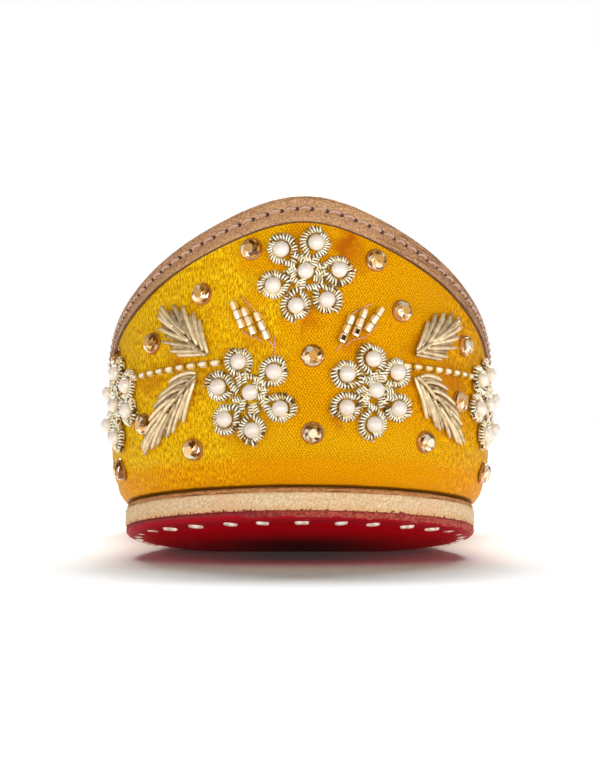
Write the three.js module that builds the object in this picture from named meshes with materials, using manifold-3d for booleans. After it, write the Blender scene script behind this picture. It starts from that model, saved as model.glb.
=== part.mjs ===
// Khussa: a flat hand-sewn slip-on shoe on a straight last, so one form serves either foot.
// Satin upper with a leather topline binding, on a stack of rand, midsole and outsole, and
// zardozi ornaments of pearls, coiled wire, cut beads and flat-backed stones sewn to the satin.
// Millimetres, +Z up, toe towards +Y, heel towards -Y, resting on Z = 0.
import * as THREE from "three";
import { mergeVertices } from "three/addons/utils/BufferGeometryUtils.js";
import Module from "manifold-3d";

const wasm = await Module();
wasm.setup();

// Sole stack, from the floor up
const OUTSOLE_THICK = 1.3;
const MIDSOLE_THICK = 2.65;
const RAND_THICK = 0.85;
const INSOLE_THICK = 1.4;
const PIECE_GAP = 0.3; // between curved pieces that are sewn together

// How the sole leaves the floor
const HEEL_LIFT = 6.2; // rise of the sole at the back of the heel
const HEEL_FLAT = [60, 90]; // stretch behind the waist that stands on the floor, from the heel back
const BALL_FLAT = [140, 182]; // stretch under the forefoot that stands on the floor
const ARCH_RISE = 0.8;
const TOE_SPRING = 9;
const EDGE_CUP = 1.4; // how far the sole curls up at its edge
const CUP_STARTS = 0.5; // share of the half width that stays flat

// Upper and binding
const WALL = 2.0; // satin, leather and lining together
const FEATHER_INSET = 0.7; // upper's foot inside the sole edge
const BINDING_WIDTH = 4.7; // on the outside
const BINDING_TURN_IN = 4.0; // on the inside
const BINDING_PROUD = 0.5;
const BINDING_THICK = 1.0;
const BINDING_RECESS = BINDING_THICK - BINDING_PROUD + PIECE_GAP; // step in the wall below it

// Ornaments
const PEARL_RADIUS = 1.45;
const RING_RADIUS = 2.65; // outside of the wire coil round a pearl
const RING_HEIGHT = 1.5;
const PETAL_REACH = 5.5; // flower centre to petal pearl
const FLOWER_CORE = 3.4; // radius of the stitched middle that holds the petals
const STONE_RADIUS = 1.95;
const STONE_HEIGHT = 1.3;
const LEAF_THICK = 0.9;
const BEAD_RADIUS = 0.6;
const SPRIG_LENGTH = 4.6;

// Right half of the last, heel back to toe tip; the left half mirrors it. Edge is the sole's outline.
// The wall leaves the edge outwards by swell and up by rise, heads for the fair point and ends at top.
const SECTION_COLUMNS = [
  "place", "edgeX", "edgeY", "swell", "rise", "fairX", "fairY", "fairZ", "topX", "topY", "topZ",
];
const SECTIONS = [
  ["heel back", 0, 0, 5.0, 3.0, 0, -2.4, 40, 0, 0.6, 61.0],
  ["back turn", 11.8, 2.4, 5.0, 3.0, 12.7, 0.2, 38, 12.4, 2.9, 57.4],
  ["heel turn", 21.6, 8.9, 5.0, 3.0, 22.9, 7.5, 35, 22.6, 9.6, 51.1],
  ["side turn", 28.2, 19.2, 5.1, 3.0, 29.8, 18.4, 31, 29.5, 20.4, 43.8],
  ["heel side", 30.3, 32, 5.2, 3.0, 31.8, 32, 26, 32.6, 33.5, 37.4],
  ["quarter", 28.6, 56, 5.2, 3.2, 32.0, 56, 20, 33.2, 57, 28.6],
  ["waist", 25.8, 88, 6.0, 4.5, 32.2, 88, 18, 32.0, 90, 25.4],
  ["instep", 28.0, 118, 6.4, 5.5, 34.0, 117, 20, 30.4, 118, 27.2],
  ["joint", 33.6, 145, 4.6, 8.0, 37.0, 141, 30, 25.4, 139.5, 36.0],
  ["ball", 36.6, 168, 3.4, 13, 32.5, 161, 39, 17.6, 154.6, 45.2],
  ["toe side", 34.4, 192, 3.0, 15, 22.5, 179, 41, 9.6, 162.4, 49.2],
  ["toe quarter", 28.0, 213, 3.0, 16, 14.0, 189, 40.5, 5.0, 165.4, 50.6],
  ["toe turn", 18.4, 230, 3.0, 16, 7.6, 194, 40, 2.4, 166.4, 51.0],
  ["toe corner", 8.8, 240.2, 3.0, 16, 3.4, 196.4, 39.8, 1.0, 166.8, 51.2],
  ["toe tip", 0, 243.5, 3.0, 16, 0, 197, 39.8, 0, 167, 51.2],
].map((row) => Object.fromEntries(SECTION_COLUMNS.map((name, i) => [name, row[i]])));

const SOLE_LENGTH = SECTIONS.at(-1).edgeY;
const COLUMNS_PER_SECTION = 2;
const SPINE = { heel: 31, toe: 214 }; // ends of the sole's centreline that its rings shrink to
const SLOPE_STEP = 0.05; // step used to measure slopes on the last

// A smooth closed curve of one value through its knots, with matching slope and curvature.
function closedSpline(knots, period, values) {
  const count = values.length;
  const span = knots.map((k, i) => (i + 1 < count ? knots[i + 1] : period) - k);
  const slope = values.map((v, i) => (values[(i + 1) % count] - v) / span[i]);
  const bend = values.map(() => 0);
  for (let sweep = 0; sweep < 80; sweep++) {
    for (let i = 0; i < count; i++) {
      const before = (i + count - 1) % count;
      const pull = 6 * (slope[i] - slope[before]);
      const sides = span[before] * bend[before] + span[i] * bend[(i + 1) % count];
      bend[i] = (pull - sides) / (2 * (span[before] + span[i]));
    }
  }
  return (around) => {
    const at = ((around % period) + period) % period;
    let i = count - 1;
    while (knots[i] > at) i--;
    const j = (i + 1) % count;
    const h = span[i];
    const right = (at - knots[i]) / h;
    const left = 1 - right;
    const curl = (left ** 3 - left) * bend[i] + (right ** 3 - right) * bend[j];
    return left * values[i] + right * values[j] + (curl * h * h) / 6;
  };
}

// The sections all the way round: right half forwards, then the left half mirrored back to the heel.
const mirrored = SECTIONS.slice(1, -1)
  .reverse()
  .map((row) => ({ ...row, edgeX: -row.edgeX, fairX: -row.fairX, topX: -row.topX }));
const ROUND = [...SECTIONS, ...mirrored];
const KNOTS = [0];
for (let i = 1; i <= ROUND.length; i++) {
  const [a, b] = [ROUND[i - 1], ROUND[i % ROUND.length]];
  KNOTS.push(KNOTS[i - 1] + Math.hypot(b.edgeX - a.edgeX, b.edgeY - a.edgeY));
}
const PERIMETER = KNOTS.pop();
const track = Object.fromEntries(
  SECTION_COLUMNS.slice(1).map((name) => [
    name,
    closedSpline(KNOTS, PERIMETER, ROUND.map((row) => row[name])),
  ]),
);

// Places round the sole edge where the meshes have their columns, closer together at heel and toe.
const AROUND = KNOTS.flatMap((knot, i) => {
  const next = i + 1 < KNOTS.length ? KNOTS[i + 1] : PERIMETER;
  return Array.from(
    { length: COLUMNS_PER_SECTION },
    (_, k) => knot + ((next - knot) * k) / COLUMNS_PER_SECTION,
  );
});

// Outward direction of the sole edge, level with the floor.
function edgeOut(around) {
  const dx = track.edgeX(around + SLOPE_STEP) - track.edgeX(around - SLOPE_STEP);
  const dy = track.edgeY(around + SLOPE_STEP) - track.edgeY(around - SLOPE_STEP);
  return new THREE.Vector3(dy, -dx, 0).normalize();
}

function edgePoint(around, inset) {
  const point = new THREE.Vector3(track.edgeX(around), track.edgeY(around), 0);
  return point.addScaledVector(edgeOut(around), -inset);
}

// Height of the sole's underside over the floor: heel lift, arch, toe spring and the curl of the edge.
function underside(along, share) {
  const cup = EDGE_CUP * Math.max(0, (share - CUP_STARTS) / (1 - CUP_STARTS)) ** 2;
  const [heelFrom, heelTo] = HEEL_FLAT;
  const [ballFrom, ballTo] = BALL_FLAT;
  if (along < heelFrom) return cup + HEEL_LIFT * (1 - along / heelFrom) ** 1.35;
  if (along > ballTo) return cup + TOE_SPRING * ((along - ballTo) / (SOLE_LENGTH - ballTo)) ** 1.6;
  if (along < heelTo || along > ballFrom) return cup;
  return cup + ARCH_RISE * Math.sin((Math.PI * (along - heelTo)) / (ballFrom - heelTo)) ** 2;
}

const MIDSOLE_FROM = OUTSOLE_THICK + PIECE_GAP;
const RAND_FROM = MIDSOLE_FROM + MIDSOLE_THICK + PIECE_GAP;
const SEAT = RAND_FROM + RAND_THICK + PIECE_GAP; // where upper and insole stand

// Outer face of the upper. Level runs from 0 at the sole to 1 at the topline.
function wallPoint(around, level) {
  const foot = edgePoint(around, FEATHER_INSET);
  foot.z = underside(foot.y, 1) + SEAT;
  const full = foot.clone().addScaledVector(edgeOut(around), track.swell(around));
  full.z += track.rise(around);
  const fair = new THREE.Vector3(track.fairX(around), track.fairY(around), track.fairZ(around));
  const top = new THREE.Vector3(track.topX(around), track.topY(around), track.topZ(around));
  return new THREE.CubicBezierCurve3(foot, full, fair, top).getPoint(level);
}

function wallNormal(around, level) {
  const step = 0.002;
  const [low, high] = [Math.max(0, level - step), Math.min(1, level + step)];
  const climb = wallPoint(around, high).sub(wallPoint(around, low));
  const along = wallPoint(around + SLOPE_STEP, level).sub(wallPoint(around - SLOPE_STEP, level));
  return along.cross(climb).normalize();
}

// A point off the outer face, outwards if positive. At the sole it moves level with the floor.
function wallOffset(around, level, out) {
  const tilt = Math.min(1, level / 0.15);
  const way = edgeOut(around).lerp(wallNormal(around, level), tilt).normalize();
  return wallPoint(around, level).addScaledVector(way, out);
}

// Length of the wall from the sole up to a level, and the level at a length up or below the topline.
const WALL_STEPS = 60;
function wallLengths(around) {
  const lengths = [0];
  for (let i = 1; i <= WALL_STEPS; i++) {
    const step = wallPoint(around, i / WALL_STEPS).distanceTo(wallPoint(around, (i - 1) / WALL_STEPS));
    lengths.push(lengths[i - 1] + step);
  }
  return lengths;
}

function levelUp(around, up) {
  const lengths = wallLengths(around);
  const i = Math.max(1, lengths.findIndex((length) => length >= up));
  return (i - 1 + (up - lengths[i - 1]) / (lengths[i] - lengths[i - 1])) / WALL_STEPS;
}

function levelBelowTop(around, down) {
  return levelUp(around, wallLengths(around).at(-1) - down);
}

// A closed mesh from points and triangles, with shared points merged and empty triangles dropped.
function closedGeometry(points, triangles) {
  const flat = triangles.flatMap((t) => t.flatMap((i) => points[i].toArray()));
  const loose = new THREE.BufferGeometry();
  loose.setAttribute("position", new THREE.Float32BufferAttribute(flat, 3));
  const merged = mergeVertices(loose, 1e-4);
  const kept = [];
  for (let i = 0; i < merged.index.count; i += 3) {
    const [a, b, c] = [0, 1, 2].map((k) => merged.index.getX(i + k));
    if (a !== b && b !== c && a !== c) kept.push(a, b, c);
  }
  merged.setIndex(kept);
  merged.computeVertexNormals();
  return merged;
}

// Joins neighbouring columns of points, each column an outline that may close on itself.
function columnsGeometry(columns, closes) {
  const points = columns.flat();
  const rows = columns[0].length;
  const triangles = [];
  columns.forEach((_, c) => {
    const here = c * rows;
    const next = ((c + 1) % columns.length) * rows;
    for (let r = 0; r < (closes ? rows : rows - 1); r++) {
      const up = (r + 1) % rows;
      const [a, b, c, d] = [here + r, next + r, next + up, here + up];
      const shorter = points[a].distanceTo(points[c]) < points[b].distanceTo(points[d]);
      triangles.push(...(shorter ? [[a, b, c], [a, c, d]] : [[a, b, d], [b, c, d]]));
    }
  });
  return closedGeometry(points, triangles);
}

// A sheet of the sole: rings that spread from the centreline to the edge below, round the edge, and back.
function soleSheet(from, rings, edge) {
  const columns = AROUND.map((around) => {
    const at = (share, inset, height) => {
      const rim = edgePoint(around, inset);
      const core = new THREE.Vector3(0, THREE.MathUtils.clamp(rim.y, SPINE.heel, SPINE.toe), 0);
      const point = core.lerp(rim, share);
      point.z = underside(point.y, share) + from + height;
      return point;
    };
    const [lowest, highest] = [edge[0], edge.at(-1)];
    const below = rings.map((share) => at(share, lowest.inset, lowest.height));
    const side = edge.map(({ inset, height }) => at(1, inset, height));
    const above = [...rings].reverse().map((share) => at(share, highest.inset, highest.height));
    return [...below, ...side, ...above];
  });
  return columnsGeometry(columns, false);
}

function outsoleGeometry() {
  return soleSheet(0, [0, CUP_STARTS, 0.8], [
    { inset: 0.9, height: 0 },
    { inset: 0.1, height: 0.7 },
    { inset: 0.1, height: OUTSOLE_THICK },
  ]);
}

function midsoleGeometry() {
  return soleSheet(MIDSOLE_FROM, [0, CUP_STARTS], [
    { inset: 0.2, height: 0 },
    { inset: 0, height: MIDSOLE_THICK / 2 },
    { inset: 0.2, height: MIDSOLE_THICK },
  ]);
}

function randGeometry() {
  return soleSheet(RAND_FROM, [0, CUP_STARTS], [
    { inset: 0.5, height: 0 },
    { inset: 0.5, height: RAND_THICK },
  ]);
}

function insoleGeometry() {
  const inset = FEATHER_INSET + WALL + 2 * PIECE_GAP;
  return soleSheet(SEAT, [0, CUP_STARTS], [
    { inset, height: 0 },
    { inset, height: INSOLE_THICK },
  ]);
}

// The upper: one hollow wall, open at the topline and underneath, stepped in below the binding.
function upperGeometry() {
  const OUTER_ROWS = 9;
  const INNER_ROWS = 8;
  const columns = AROUND.map((around) => {
    const step = levelBelowTop(around, BINDING_WIDTH + PIECE_GAP);
    const rim = levelBelowTop(around, BINDING_THICK);
    const column = [];
    for (let i = 0; i <= OUTER_ROWS; i++) {
      column.push(wallOffset(around, step * (i / OUTER_ROWS) ** 1.3, 0));
    }
    column.push(wallOffset(around, step, -BINDING_RECESS));
    column.push(wallOffset(around, rim, -BINDING_RECESS));
    for (let i = INNER_ROWS; i >= 0; i--) {
      column.push(wallOffset(around, rim * (i / INNER_ROWS) ** 1.3, -WALL));
    }
    return column;
  });
  return columnsGeometry(columns, true);
}

// The binding: a leather strip folded over the topline, its section given as out from the wall and down.
function bindingGeometry() {
  const outer = BINDING_PROUD;
  const under = BINDING_PROUD - BINDING_THICK;
  const inside = -WALL - PIECE_GAP;
  const lining = inside - BINDING_THICK;
  const lip = BINDING_THICK - PIECE_GAP;
  const section = [
    { out: outer, down: BINDING_WIDTH },
    { out: outer, down: 0.9 },
    { out: outer - 0.6, down: 0 },
    { out: lining + 0.6, down: 0 },
    { out: lining, down: 0.9 },
    { out: lining, down: BINDING_TURN_IN },
    { out: inside, down: BINDING_TURN_IN },
    { out: inside, down: lip },
    { out: under, down: lip },
    { out: under, down: BINDING_WIDTH },
  ];
  const columns = AROUND.map((around) =>
    section.map(({ out, down }) => wallOffset(around, levelBelowTop(around, down), out)),
  );
  return columnsGeometry(columns, true);
}

// Where and how the satin lies at a place round the edge and a level up the wall: its normal, the way
// level with the floor that runs on round the shoe, and the way straight up it.
function lie(around, level) {
  const normal = wallNormal(around, level);
  const side = new THREE.Vector3(0, 0, 1).cross(normal).normalize();
  const above = normal.clone().cross(side);
  return { around, level, point: wallPoint(around, level), normal, side, above };
}

// A place on the satin: around is along the sole edge from the heel back, positive to the right, and up
// is along the wall from the sole. Across and rise then move it over the satin, each as it lies there.
function place({ around, up, across = 0, rise = 0 }) {
  const start = lie(around, levelUp(around, up));
  const goal = start.point.clone().addScaledVector(start.side, across).addScaledVector(start.above, rise);
  let spot = start;
  for (let pass = 0; pass < 12; pass++) {
    const miss = goal.clone().sub(spot.point);
    const farther = wallPoint(spot.around + SLOPE_STEP, spot.level).sub(spot.point).divideScalar(SLOPE_STEP);
    const higher = wallPoint(spot.around, spot.level + 0.002).sub(spot.point).divideScalar(0.002);
    const aside = miss.clone().cross(higher).dot(spot.normal);
    const climb = farther.clone().cross(miss).dot(spot.normal);
    const share = 0.8 / farther.clone().cross(higher).dot(spot.normal);
    spot = lie(spot.around + share * aside, spot.level + share * climb);
  }
  return spot;
}

// Turns a geometry built with its base at the origin and its height along +Z onto the satin.
function seated(geometry, spot, turn = 0) {
  const facing = new THREE.Matrix4().makeBasis(spot.side, spot.above, spot.normal);
  const seat = spot.point.clone().addScaledVector(spot.normal, PIECE_GAP);
  geometry.rotateZ(turn);
  geometry.applyMatrix4(facing);
  return geometry.translate(seat.x, seat.y, seat.z);
}

// The same form with its points shared between triangles, so that it is one closed surface.
function closed(geometry) {
  const loose = geometry.index ? geometry.toNonIndexed() : geometry;
  const corners = loose.getAttribute("position");
  const points = Array.from({ length: corners.count }, (_, i) =>
    new THREE.Vector3().fromBufferAttribute(corners, i));
  const triangles = Array.from({ length: corners.count / 3 }, (_, i) => [3 * i, 3 * i + 1, 3 * i + 2]);
  return closedGeometry(points, triangles);
}

function solidOf(geometry) {
  const vertProperties = geometry.attributes.position.array;
  const triVerts = new Uint32Array(geometry.index.array);
  return new wasm.Manifold(new wasm.Mesh({ numProp: 3, vertProperties, triVerts }));
}

function geometryOf(solid) {
  const mesh = solid.getMesh();
  const geometry = new THREE.BufferGeometry();
  geometry.setAttribute("position", new THREE.BufferAttribute(mesh.vertProperties, 3));
  geometry.setIndex(new THREE.BufferAttribute(mesh.triVerts, 1));
  geometry.computeVertexNormals();
  return geometry;
}

function joined(geometries) {
  return geometryOf(geometries.map(solidOf).reduce((all, next) => all.add(next)));
}

// A turned form standing on its base, its profile given as radius and height from the axis out and back.
function turned(profile, sides) {
  const points = profile.map(([radius, height]) => new THREE.Vector2(radius, height));
  return closed(new THREE.LatheGeometry(points, sides).rotateX(Math.PI / 2));
}

// One petal: a pearl in a collar of coiled wire, standing on a base of the given radius.
function petal(base) {
  return turned([
    [0, 0],
    [base, 0],
    [base, RING_HEIGHT * 0.6],
    [PEARL_RADIUS, RING_HEIGHT],
    [0, RING_HEIGHT * 0.3 + PEARL_RADIUS],
  ], 8);
}

// A flower of pearls: petals at so many degrees round a middle one whose base joins them.
function flowerGeometry({ petals, across = 0, rise = 0, ...spot }) {
  const parts = [seated(petal(FLOWER_CORE), place({ ...spot, across, rise }))];
  for (const degrees of petals) {
    const angle = THREE.MathUtils.degToRad(degrees);
    const aside = across + PETAL_REACH * Math.cos(angle);
    const above = rise + PETAL_REACH * Math.sin(angle);
    parts.push(seated(petal(RING_RADIUS), place({ ...spot, across: aside, rise: above }), angle));
  }
  return joined(parts);
}

// A leaf of laid wire: pointed at both ends, long along its turn, seated by its middle.
function leafGeometry({ turn, long, wide, ...spot }) {
  const half = long / 2;
  const outline = new THREE.Shape();
  outline.moveTo(-half, 0);
  outline.quadraticCurveTo(-0.1 * long, wide, half, 0);
  outline.quadraticCurveTo(-0.1 * long, -wide, -half, 0);
  const geometry = new THREE.ExtrudeGeometry(outline, {
    depth: LEAF_THICK,
    bevelEnabled: false,
    curveSegments: 4,
  });
  return seated(geometry, place(spot), THREE.MathUtils.degToRad(turn));
}

function stoneGeometry(spot) {
  return seated(turned([
    [0, 0],
    [STONE_RADIUS, 0],
    [STONE_RADIUS, STONE_HEIGHT * 0.35],
    [STONE_RADIUS * 0.55, STONE_HEIGHT],
    [0, STONE_HEIGHT],
  ], 8), place(spot));
}

// A row of cut beads on one thread, lying on the satin at its turn.
function sprigGeometry({ turn, ...spot }) {
  const bar = new THREE.CylinderGeometry(BEAD_RADIUS, BEAD_RADIUS, SPRIG_LENGTH, 6).rotateZ(Math.PI / 2);
  return seated(bar.translate(0, 0, BEAD_RADIUS), place(spot), THREE.MathUtils.degToRad(turn));
}

// A stem of cut beads that follows the satin between two places.
function stemGeometry({ from, to }) {
  const STEPS = 6;
  const route = Array.from({ length: STEPS + 1 }, (_, i) => {
    const around = THREE.MathUtils.lerp(from.around, to.around, i / STEPS);
    const up = THREE.MathUtils.lerp(from.up, to.up, i / STEPS);
    const spot = place({ around, up });
    return spot.point.addScaledVector(spot.normal, PIECE_GAP + BEAD_RADIUS);
  });
  const corners = Array.from({ length: 6 }, (_, i) =>
    new THREE.Vector2(BEAD_RADIUS, 0).rotateAround(new THREE.Vector2(), (Math.PI * i) / 3));
  const section = new THREE.Shape(corners);
  return new THREE.ExtrudeGeometry(section, {
    extrudePath: new THREE.CatmullRomCurve3(route),
    steps: STEPS,
    bevelEnabled: false,
  });
}

// Ornaments by place on the satin, in millimetres, with turns in degrees from level with the floor.
// The counter's are set by hand, a little right of the middle; the vamp's mirror each other.
const VAMP = { around: PERIMETER / 2, up: 60 };
const EVEN_PETALS = [30, 90, 150, 210, 270, 330];
const FLOWERS = {
  flower_back: { around: 0.5, up: 35.5, petals: [3, 70, 137, 204, 255, 306] },
  flower_left: { around: -7.3, up: 16.1, petals: [41, 111, 170, 225, 273, 332] },
  flower_right: { around: 11.3, up: 16.7, petals: [37, 95, 152, 210, 267, 323] },
  flower_side_left: { around: -36, up: 16.6, petals: [36, 100, 158, 218, 275, 350] },
  flower_side_right: { around: 38.4, up: 17, petals: [8, 68, 130, 188, 248, 308] },
  flower_vamp: { ...VAMP, rise: 8, petals: EVEN_PETALS },
  flower_vamp_right: { ...VAMP, across: -14, rise: -9, petals: EVEN_PETALS },
  flower_vamp_left: { ...VAMP, across: 14, rise: -9, petals: EVEN_PETALS },
};
const LEAVES = {
  leaf_left_upper: { around: -19.4, up: 27, turn: 144, long: 13, wide: 6.4 },
  leaf_left_lower: { around: -21.4, up: 13.1, turn: 226, long: 17.4, wide: 5.6 },
  leaf_right_upper: { around: 23.4, up: 26.6, turn: 25, long: 12.6, wide: 6.2 },
  leaf_right_lower: { around: 23.6, up: 14, turn: 316, long: 15.6, wide: 5.6 },
  leaf_vamp_right_upper: { ...VAMP, across: -15, rise: 5.5, turn: 150, long: 12, wide: 6 },
  leaf_vamp_left_upper: { ...VAMP, across: 15, rise: 5.5, turn: 30, long: 12, wide: 6 },
  leaf_vamp_right_lower: { ...VAMP, across: -5.5, rise: -16.2, turn: 252, long: 13, wide: 4.6 },
  leaf_vamp_left_lower: { ...VAMP, across: 5.5, rise: -16.2, turn: 288, long: 13, wide: 4.6 },
};
const STEMS = {
  stem_left: { from: { around: -13, up: 21.3 }, to: { around: -27.6, up: 20.4 } },
  stem_right: { from: { around: 18.9, up: 21.1 }, to: { around: 31, up: 20.8 } },
};
const SPRIGS = {
  sprig_left_outer: { around: -9.8, up: 28.4, turn: 113 },
  sprig_left_middle: { around: -7.9, up: 27.6, turn: 113 },
  sprig_left_inner: { around: -6, up: 26.9, turn: 115 },
  sprig_right_inner: { around: 6.8, up: 26.6, turn: 66 },
  sprig_right_middle: { around: 8.9, up: 27.7, turn: 66 },
  sprig_right_outer: { around: 11.2, up: 28.5, turn: 54 },
};
const STONES = {
  stone_middle_upper: { around: 1.8, up: 22 },
  stone_middle_lower: { around: 1.9, up: 9.4 },
  stone_left_top: { around: -8, up: 39.8 },
  stone_left_high: { around: -16, up: 32.9 },
  stone_left_leaf: { around: -26, up: 25.8 },
  stone_left_tip: { around: -27.6, up: 12.4 },
  stone_left_low: { around: -17.3, up: 7.3 },
  stone_left_side_high: { around: -40, up: 25.2 },
  stone_left_side_low: { around: -37, up: 5.7 },
  stone_right_top: { around: 11.6, up: 38.2 },
  stone_right_high: { around: 16.1, up: 30.1 },
  stone_right_leaf: { around: 30.8, up: 26 },
  stone_right_tip: { around: 28.5, up: 16.2 },
  stone_right_low: { around: 20.8, up: 8.8 },
  stone_right_side_low: { around: 40, up: 5.5 },
  stone_vamp_middle: { ...VAMP, rise: -5 },
  stone_vamp_toe: { ...VAMP, rise: -25 },
  stone_vamp_right_high: { ...VAMP, across: -10, rise: 13 },
  stone_vamp_left_high: { ...VAMP, across: 10, rise: 13 },
  stone_vamp_right_low: { ...VAMP, across: -14, rise: -21 },
  stone_vamp_left_low: { ...VAMP, across: 14, rise: -21 },
};

// Materials
const satin = new THREE.MeshStandardMaterial({ color: 0xe09b07, roughness: 0.42 });
const bindingLeather = new THREE.MeshStandardMaterial({ color: 0xb58560, roughness: 0.5, metalness: 0.2 });
const randLeather = new THREE.MeshStandardMaterial({ color: 0xae7444, roughness: 0.75 });
const midsoleLeather = new THREE.MeshStandardMaterial({ color: 0xe4bb92, roughness: 0.9 });
const outsoleLeather = new THREE.MeshStandardMaterial({ color: 0x7d0a18, roughness: 0.35 });
const insoleLeather = new THREE.MeshStandardMaterial({ color: 0xc79a6b, roughness: 0.7 });
const goldWire = new THREE.MeshStandardMaterial({ color: 0xd8c48c, roughness: 0.3, metalness: 0.9 });
const cutBead = new THREE.MeshStandardMaterial({ color: 0xe9cf9a, roughness: 0.15, metalness: 0.6 });
const champagneStone = new THREE.MeshStandardMaterial({ color: 0xc9a070, roughness: 0.08, metalness: 0.5 });

const khussa = new THREE.Group();
function add(name, geometry, material) {
  const mesh = new THREE.Mesh(geometry, material);
  mesh.name = name;
  khussa.add(mesh);
}

add("outsole", outsoleGeometry(), outsoleLeather);
add("midsole", midsoleGeometry(), midsoleLeather);
add("rand", randGeometry(), randLeather);
add("insole", insoleGeometry(), insoleLeather);
add("upper", upperGeometry(), satin);
add("binding", bindingGeometry(), bindingLeather);
for (const [name, spot] of Object.entries(FLOWERS)) add(name, flowerGeometry(spot), goldWire);
for (const [name, spot] of Object.entries(LEAVES)) add(name, leafGeometry(spot), goldWire);
for (const [name, ends] of Object.entries(STEMS)) add(name, stemGeometry(ends), cutBead);
for (const [name, spot] of Object.entries(SPRIGS)) add(name, sprigGeometry(spot), cutBead);
for (const [name, spot] of Object.entries(STONES)) add(name, stoneGeometry(spot), champagneStone);

// The origin is on the floor under the middle of the shoe's box.
const box = new THREE.Box3().setFromObject(khussa);
khussa.position.y = -(box.min.y + box.max.y) / 2;
khussa.updateMatrixWorld(true);

export default khussa;
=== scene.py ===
import bpy
import numpy as np
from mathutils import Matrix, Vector


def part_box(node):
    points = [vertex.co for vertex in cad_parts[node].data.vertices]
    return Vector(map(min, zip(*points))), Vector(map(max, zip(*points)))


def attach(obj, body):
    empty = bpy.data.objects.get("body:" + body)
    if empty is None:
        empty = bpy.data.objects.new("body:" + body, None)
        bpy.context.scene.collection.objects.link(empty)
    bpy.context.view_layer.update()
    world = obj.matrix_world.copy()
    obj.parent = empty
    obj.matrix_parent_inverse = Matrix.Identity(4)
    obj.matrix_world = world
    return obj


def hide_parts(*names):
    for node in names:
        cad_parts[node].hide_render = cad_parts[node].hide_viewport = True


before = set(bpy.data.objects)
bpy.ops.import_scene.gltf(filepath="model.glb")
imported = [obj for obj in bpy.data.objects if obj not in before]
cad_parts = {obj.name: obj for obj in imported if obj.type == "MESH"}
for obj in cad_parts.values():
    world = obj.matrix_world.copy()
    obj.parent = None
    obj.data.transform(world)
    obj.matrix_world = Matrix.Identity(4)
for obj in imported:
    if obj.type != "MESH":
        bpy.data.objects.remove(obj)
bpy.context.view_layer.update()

# Outsole. One layer of leather dyed red, glossed underneath and left rough where its edge was cut.
# It curls up at the heel and the toe and stands on two flat spots. Lengths here are millimetres,
# with along measured from the sole's back edge.
HEEL_BACK = 1000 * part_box("midsole")[0][1]
SOLE_EDGE = np.array([  # across, along: right half of the outline, heel back to toe tip
    (0, 0), (11.8, 2.4), (21.6, 8.9), (28.2, 19.2), (30.3, 32), (28.6, 56), (25.8, 88), (28.0, 118),
    (33.6, 145), (36.6, 168), (34.4, 192), (28.0, 213), (18.4, 230), (8.8, 240.2), (0, 243.5),
])
OUTSOLE_THICK = 1.55
HEEL_LIFT, HEEL_CURVE, HEEL_FLAT_FROM, HEEL_FLAT_TO = 6.2, 1.35, 60, 90
ARCH_RISE = 0.8
BALL_FLAT_FROM, BALL_FLAT_TO, TOE_SPRING, TOE_CURVE = 140, 182, 9, 1.6
EDGE_CUP, CUP_STARTS = 1.4, 0.5
SPINE_HEEL, SPINE_TOE = 31, 214
EDGE_ROW, GLOSS_ROW, GLOSS_SWAY, GLOSS_RAGGED = 13, 14.6, 2.6, 0.8  # rows of the profile
RUBBED_AT, RUBBED_REACH, RUBBED_ROW = -34, 24, 16.4
COLUMNS = 720
AROUND_STEP = 0.05  # short enough to measure slopes with


def both_halves(table, across):
    """The right half of a table of sections, then the same backwards with its across columns negated."""
    left = table[-2:0:-1].copy()
    left[:, across] *= -1
    return np.vstack([table, left])


OUTLINE = both_halves(SOLE_EDGE, [0])
SPAN = np.linalg.norm(np.roll(OUTLINE, -1, 0) - OUTLINE, axis=1)
KNOT = np.concatenate([[0], np.cumsum(SPAN)])
PERIMETER = KNOT[-1]
AROUND = np.linspace(0, PERIMETER, COLUMNS, endpoint=False)


def smooth_through(rows):
    """A function of the distance around the sole: the closed cubic spline through rows, in which
    neighbouring pieces share slope and curvature at each knot."""
    one = np.eye(len(rows))
    before = np.roll(SPAN, 1)
    slope = (np.roll(rows, -1, 0) - rows) / SPAN[:, None]
    system = one * (2 * (before + SPAN))[:, None]
    system = system + np.roll(one, 1, 1) * SPAN[:, None] + np.roll(one, -1, 1) * before[:, None]
    bend = np.linalg.solve(system, 6 * (slope - np.roll(slope, 1, 0)))

    def at(around):
        around = np.mod(around, PERIMETER)
        i = np.clip(np.searchsorted(KNOT, around, side="right") - 1, 0, len(rows) - 1)
        j = (i + 1) % len(rows)
        after = ((around - KNOT[i]) / SPAN[i])[..., None]
        ahead = 1 - after
        curl = (ahead**3 - ahead) * bend[i] + (after**3 - after) * bend[j]
        return ahead * rows[i] + after * rows[j] + curl * SPAN[i][..., None] ** 2 / 6

    return at


sole_edge = smooth_through(OUTLINE)


def unit(vectors):
    """Vectors divided by their lengths."""
    return vectors / np.linalg.norm(vectors, axis=-1, keepdims=True)


def edge_out(around):
    """Level direction out of the sole: the outline's direction turned a quarter to the right."""
    step = sole_edge(around + AROUND_STEP) - sole_edge(around - AROUND_STEP)
    return unit(np.stack([step[..., 1], -step[..., 0]], -1))


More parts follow.
